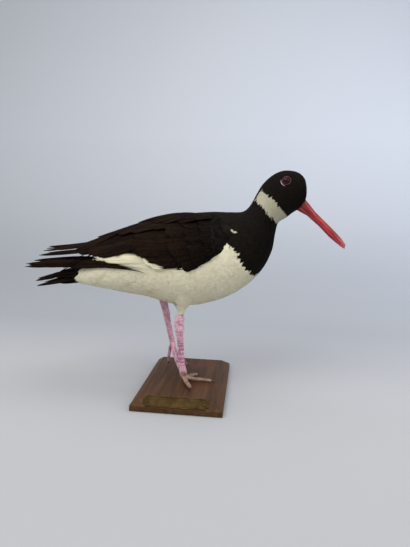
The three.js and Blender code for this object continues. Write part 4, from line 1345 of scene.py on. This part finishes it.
def claws():
    """Dark keratin, polished by wear: satin, with fibres along it that show as faint streaks."""
    tint = settings().bare
    horn, tree, shader = base_material("Claw horn", tint.claws, 0.42)
    where = add(tree, "TexCoord").outputs["Object"]
    fibres = add(tree, "TexNoise", {"Vector": where, "Scale": 700.0, "Detail": 2.0})
    hue = add(tree, "ValToRGB", {"Fac": fibres}, [(0.35, tint.claws), (0.7, "4a3a30")])
    dress(tree, shader, hue, fibres, 0.2, 0.0002)
    for side in SIDES:
        for toe in TOES:
            name = f"claw_{side}_{toe}"
            obj = copied(name)
            modify(obj, "SUBSURF", levels=2, render_levels=2)
            finish_piece(obj, name, horn, name, slot="claw")


# Plinth and plaque

FRONT_SLOPE = (0, -8.0, 12.0)  # the way the plinth's front faces, which falls 8 mm over 12 mm
GROOVE_DEPTH = 0.00025


def wood_material():
    """Stained hardwood with an open grain that runs from front to back and a thin worn wax."""
    tint = settings().base
    material, tree, shader = base_material("Stained hardwood", "5b4436", 0.55, Specular_IOR_Level=0.16)
    where = add(tree, "TexCoord").outputs["Object"]
    lie = add(tree, "Mapping", {"Vector": where, "Scale": (1.0, 0.06, 1.0)})
    pores = {"Vector": lie, "Scale": 300.0, "Detail": 6.0, "Roughness": 0.7, "Distortion": 0.5}
    grain = add(tree, "TexNoise", pores)
    bands = add(tree, "TexNoise", {"Vector": lie, "Scale": 60.0, "Detail": 3.0, "Distortion": 1.5})
    patch = add(tree, "TexNoise", {"Vector": where, "Scale": 22.0, "Detail": 2.0})
    stain = [(0.3, tint.wood_dark), (0.5, "472f1a"), (0.72, tint.wood_light)]
    fine = add(tree, "ValToRGB", {"Fac": grain}, stain)
    broad = add(tree, "ValToRGB", {"Fac": bands}, [(0.3, "302013"), (0.7, "5e4028")])
    wood = add(tree, "Mix", {"Factor": 0.45, "A": fine, "B": broad}, data_type="RGBA")
    red = add(tree, "ValToRGB", {"Fac": patch}, [(0.55, 0.0), (0.68, 0.5)])
    warm = add(tree, "Mix", {"Factor": red, "A": wood, "B": linear("5c3222")}, data_type="RGBA")
    dress(tree, shader, warm, grain, 0.25, 0.0003)
    return material


def plinth():
    """The chamfered wooden plinth."""
    obj = copied("base_plinth")
    rounding = settings().base.edge_round
    modify(obj, "BEVEL", width=rounding, segments=3, limit_method="ANGLE", angle_limit=math.radians(20))
    finish_piece(obj, "plinth", wood_material(), "base_plinth", slot="wood", smooth=False)
    alone(obj)
    bpy.ops.object.shade_smooth_by_angle(angle=math.radians(35))


def brass_material():
    """Rolled brass, long unpolished: clouds of brown tarnish dull it, and the rest catches the light."""
    tint = settings().base
    brass, tree, shader = base_material("Aged brass", tint.brass_light, 0.45, Metallic=1.0)
    where = add(tree, "TexCoord").outputs["Object"]
    tarnish = add(tree, "TexNoise", {"Vector": where, "Scale": 90.0, "Detail": 6.0, "Roughness": 0.6})
    tones = [(0.3, tint.brass_dark), (0.55, "463820"), (0.8, tint.brass_light)]
    hue = add(tree, "ValToRGB", {"Fac": tarnish}, tones)
    rough = add(tree, "ValToRGB", {"Fac": tarnish}, [(0.3, 0.55), (0.8, 0.4)])
    feed(tree, shader, {"Roughness": rough})
    dress(tree, shader, hue, tarnish, 0.15, 0.0002)
    return brass


def engrave_border(plate):
    """A plain line sunk into the plaque's face all round, a little inside its edge."""
    tint = settings().base
    edit(plate, (bpy.ops.mesh.dissolve_limited, {"angle_limit": math.radians(2)}))
    outward = Vector(FRONT_SLOPE).normalized()
    front = max(plate.data.polygons, key=lambda face: face.area * (face.normal.dot(outward) > 0.95))
    half = tint.border_width / 2
    insets = [(tint.border_inset, 0), (half, -GROOVE_DEPTH), (half, GROOVE_DEPTH)]
    steps = [(bpy.ops.mesh.inset, {"thickness": inset, "depth": depth}) for inset, depth in insets]
    edit(plate, *steps, kind="FACE", parts=[front])


def plaque():
    """The brass plate on the front slope with its two round-headed screws."""
    brass = brass_material()
    plate = copied("plaque")
    engrave_border(plate)
    finish_piece(plate, "plaque", brass, "plaque", slot="brass", smooth=False)
    for side in ("left", "right"):
        name = f"plaque_pin_{side}"
        pin = copied(name)
        modify(pin, "SUBSURF", levels=2, render_levels=2)
        finish_piece(pin, name, brass, name, slot="brass")


# Studio

FLOOR_SIZE = (14, 6, 1)
FLOOR_END = 2.9  # edges of the floor farther back than this carry the sweep
FLOOR_AT = (0, 0, -0.0004)
SWEEP = ((0, 0.6, 0.25), (0, 0.3, 1.0), (0, 0.1, 5.0))  # how the paper rises, step by step
SWEEP_SHIFT = 2.1  # how much nearer it then stands

# Lamps in metres and watts: place, what they point at, size, power and colour.
BIRD_MIDDLE = (0, 0, 0.14)
LAMPS = {
    "window": ((-0.9, -1.2, 1.6), BIRD_MIDDLE, 1.4, 26, "fffdfa"),
    "overhead": ((0.2, 0.1, 1.9), BIRD_MIDDLE, 1.8, 20, "ffffff"),
    "fill": ((1.3, -1.0, 0.7), BIRD_MIDDLE, 1.2, 6, "fff8ee"),
    "backdrop": ((1.3, 0.2, 0.9), (0.9, 1.1, 0.45), 0.7, 11, "dce8ff"),
}

# The camera that was fitted to the photo's plinth and legs.
CAMERA_AT = (72.50, -485.99, 212.12)
CAMERA_YAW, CAMERA_PITCH, CAMERA_ROLL = math.radians(6.08), math.radians(-7.98), math.radians(1.37)


def paper_material():
    """Matt uncoated paper: no gloss, with painted shade that darkens it towards the foot of the sweep and
    painted light that makes it paler up the wall.
    """
    tint = settings().studio.paper
    paper, tree, shader = base_material("Matt backdrop paper with painted shade and light", tint, 0.95)
    where = add(tree, "TexCoord").outputs["Object"]
    split = add(tree, "SeparateXYZ", {"Vector": where}).outputs
    reach = add(tree, "Math", {0: split["Y"], 1: split["Z"]}, operation="ADD")
    share = add(tree, "MapRange", {"Value": reach, "From Min": 0.0, "From Max": 2.4})
    # Painted shade and light: darker stops towards the foot of the sweep, paler ones up the wall.
    tones = [(0.0, tint), (0.125, "9c9fa4"), (0.37, "a3a6ac"), (0.54, "aeb2b8"), (0.92, "c6cad1")]
    feed(tree, shader, {"Base Color": add(tree, "ValToRGB", {"Fac": share}, tones)})
    return paper


def backdrop():
    """A sheet of paper under the plinth that sweeps up behind it."""
    floor = primitive(bpy.ops.mesh.primitive_plane_add, FLOOR_SIZE, size=1, location=FLOOR_AT)
    floor.name = "studio_floor"
    heights = [vertex.co.y for vertex in floor.data.vertices]
    far = [edge for edge in floor.data.edges if min(heights[i] for i in edge.vertices) > FLOOR_END]
    rises = [{"TRANSFORM_OT_translate": {"value": rise}} for rise in SWEEP]
    edit(floor, *((bpy.ops.mesh.extrude_region_move, rise) for rise in rises), kind="EDGE", parts=far)
    for vertex in floor.data.vertices:
        if vertex.co.y > FLOOR_END:
            vertex.co.y -= SWEEP_SHIFT
    modify(floor, "BEVEL", width=0.3, segments=8, limit_method="ANGLE", angle_limit=math.radians(10))
    bpy.ops.object.shade_smooth()
    floor.data.materials.append(paper_material())


def lighting():
    """Even room light and four soft lamps."""
    world = bpy.data.worlds.new("Studio air")
    bpy.context.scene.world = world
    world.use_nodes = True
    room = {"Color": linear("e6e6e6"), "Strength": settings().studio.air}
    feed(world.node_tree, world.node_tree.nodes["Background"], room)
    for name, (at, target, size, power, tint) in LAMPS.items():
        lamp = bpy.data.lights.new(name, "AREA")
        lamp.size = size
        lamp.energy = power * settings().studio.lamps
        lamp.color = linear(tint)[:3]
        obj = bpy.data.objects.new(name, lamp)
        obj.location = at
        obj.rotation_euler = (Vector(target) - Vector(at)).to_track_quat("-Z", "Y").to_euler()
        bpy.context.collection.objects.link(obj)


def photo_camera():
    """The camera where the photo's stood, with its yaw, pitch and roll."""
    yaw, pitch, roll = CAMERA_YAW, CAMERA_PITCH, CAMERA_ROLL
    forward = Vector((-math.sin(yaw) * math.cos(pitch), math.cos(yaw) * math.cos(pitch), math.sin(pitch)))
    right = Vector((math.cos(yaw), math.sin(yaw), 0))
    up = right.cross(forward)
    across = right * math.cos(roll) + up * math.sin(roll)
    upward = -right * math.sin(roll) + up * math.cos(roll)
    camera = bpy.data.objects.new("camera", bpy.data.cameras.new("camera"))
    axes = Matrix((across, upward, -forward)).transposed().to_4x4()
    camera.matrix_world = Matrix.Translation(Vector(CAMERA_AT) * MM) @ axes
    camera.data.sensor_width = SENSOR
    camera.data.sensor_fit = "AUTO"
    camera.data.lens = settings().studio.lens
    bpy.context.collection.objects.link(camera)
    bpy.context.scene.camera = camera
    bpy.context.scene.view_settings.view_transform = "Standard"


# The add-on


class Making:
    """What all operators share."""

    bl_options = {"REGISTER", "UNDO"}


class MOUNT_OT_body_skin(Making, bpy.types.Operator):
    """Make the one skin under the plumage of trunk, neck, head, rump and thigh."""

    bl_idname = "mount.body_skin"
    bl_label = "Body skin"

    def execute(self, context):
        make_materials()
        body_skin()
        return {"FINISHED"}


class MOUNT_OT_body_coat(Making, bpy.types.Operator):
    """Lay the small feathers of trunk, neck and head over the skin."""

    bl_idname = "mount.body_coat"
    bl_label = "Body feathers"

    def execute(self, context):
        body_coat()
        shoulder_coat()
        return {"FINISHED"}


class MOUNT_OT_thigh_coat(Making, bpy.types.Operator):
    """Lay the small feathers down the right thigh."""

    bl_idname = "mount.thigh_coat"
    bl_label = "Thigh feathers"

    def execute(self, context):
        thigh_coat()
        return {"FINISHED"}


class MOUNT_OT_wings(Making, bpy.types.Operator):
    """Make both folded wings: the flesh under them and their rows of feathers."""

    bl_idname = "mount.wings"
    bl_label = "Wings"

    def execute(self, context):
        for name, side in SIDES.items():
            wing_bed(name, side)
            wing_feathers(name, side)
        return {"FINISHED"}


class MOUNT_OT_tail(Making, bpy.types.Operator):
    """Make the closed tail and its coverts."""

    bl_idname = "mount.tail"
    bl_label = "Tail"

    def execute(self, context):
        tail_feathers()
        return {"FINISHED"}


class MOUNT_OT_eyes(Making, bpy.types.Operator):
    """Make the glass eyes, the rings round them and the white crescents."""

    bl_idname = "mount.eyes"
    bl_label = "Eyes"

    def execute(self, context):
        eyes()
        return {"FINISHED"}


class MOUNT_OT_bill(Making, bpy.types.Operator):
    """Make both halves of the bill."""

    bl_idname = "mount.bill"
    bl_label = "Bill"

    def execute(self, context):
        bill()
        return {"FINISHED"}


class MOUNT_OT_legs(Making, bpy.types.Operator):
    """Make the shanks and toes with their scales."""

    bl_idname = "mount.legs"
    bl_label = "Legs"

    def execute(self, context):
        legs()
        return {"FINISHED"}


class MOUNT_OT_claws(Making, bpy.types.Operator):
    """Make the six claws."""

    bl_idname = "mount.claws"
    bl_label = "Claws"

    def execute(self, context):
        claws()
        return {"FINISHED"}


class MOUNT_OT_plinth(Making, bpy.types.Operator):
    """Make the wooden plinth."""

    bl_idname = "mount.plinth"
    bl_label = "Plinth"

    def execute(self, context):
        plinth()
        return {"FINISHED"}


class MOUNT_OT_plaque(Making, bpy.types.Operator):
    """Make the brass plaque and its screws."""

    bl_idname = "mount.plaque"
    bl_label = "Plaque"

    def execute(self, context):
        plaque()
        return {"FINISHED"}


class MOUNT_OT_studio(Making, bpy.types.Operator):
    """Set up the backdrop, the lamps and the camera."""

    bl_idname = "mount.studio"
    bl_label = "Studio"

    def execute(self, context):
        backdrop()
        lighting()
        photo_camera()
        return {"FINISHED"}


OPERATORS = (
    MOUNT_OT_body_skin,
    MOUNT_OT_body_coat,
    MOUNT_OT_thigh_coat,
    MOUNT_OT_wings,
    MOUNT_OT_tail,
    MOUNT_OT_eyes,
    MOUNT_OT_bill,
    MOUNT_OT_legs,
    MOUNT_OT_claws,
    MOUNT_OT_plinth,
    MOUNT_OT_plaque,
    MOUNT_OT_studio,
)
GROUPS = (PlumageSettings, BareSettings, BaseSettings, StudioSettings, MountSettings)


class MOUNT_PT_panel(bpy.types.Panel):
    """The sizes and colours of the mount and a button for each group of its pieces."""

    bl_label = "Mounted oystercatcher"
    bl_space_type = "VIEW_3D"
    bl_region_type = "UI"
    bl_category = "Mount"

    def draw(self, context):
        layout = self.layout
        for group in ("plumage", "bare", "base", "studio"):
            box = layout.box()
            box.label(text=group.title())
            values = getattr(context.scene.mount_settings, group)
            for name in values.bl_rna.properties.keys():
                if name not in ("rna_type", "name"):
                    box.prop(values, name)
        for kind in OPERATORS:
            layout.operator(kind.bl_idname)


def register():
    for kind in (*GROUPS, *OPERATORS, MOUNT_PT_panel):
        bpy.utils.register_class(kind)
    bpy.types.Scene.mount_settings = PointerProperty(type=MountSettings)


def unregister():
    del bpy.types.Scene.mount_settings
    for kind in reversed((*GROUPS, *OPERATORS, MOUNT_PT_panel)):
        bpy.utils.unregister_class(kind)


def main():
    register()
    bpy.ops.mount.body_skin()
    bpy.ops.mount.body_coat()
    bpy.ops.mount.thigh_coat()
    bpy.ops.mount.wings()
    bpy.ops.mount.tail()
    bpy.ops.mount.eyes()
    bpy.ops.mount.bill()
    bpy.ops.mount.legs()
    bpy.ops.mount.claws()
    bpy.ops.mount.plinth()
    bpy.ops.mount.plaque()
    bpy.ops.mount.studio()


if __name__ == "__main__":
    main()
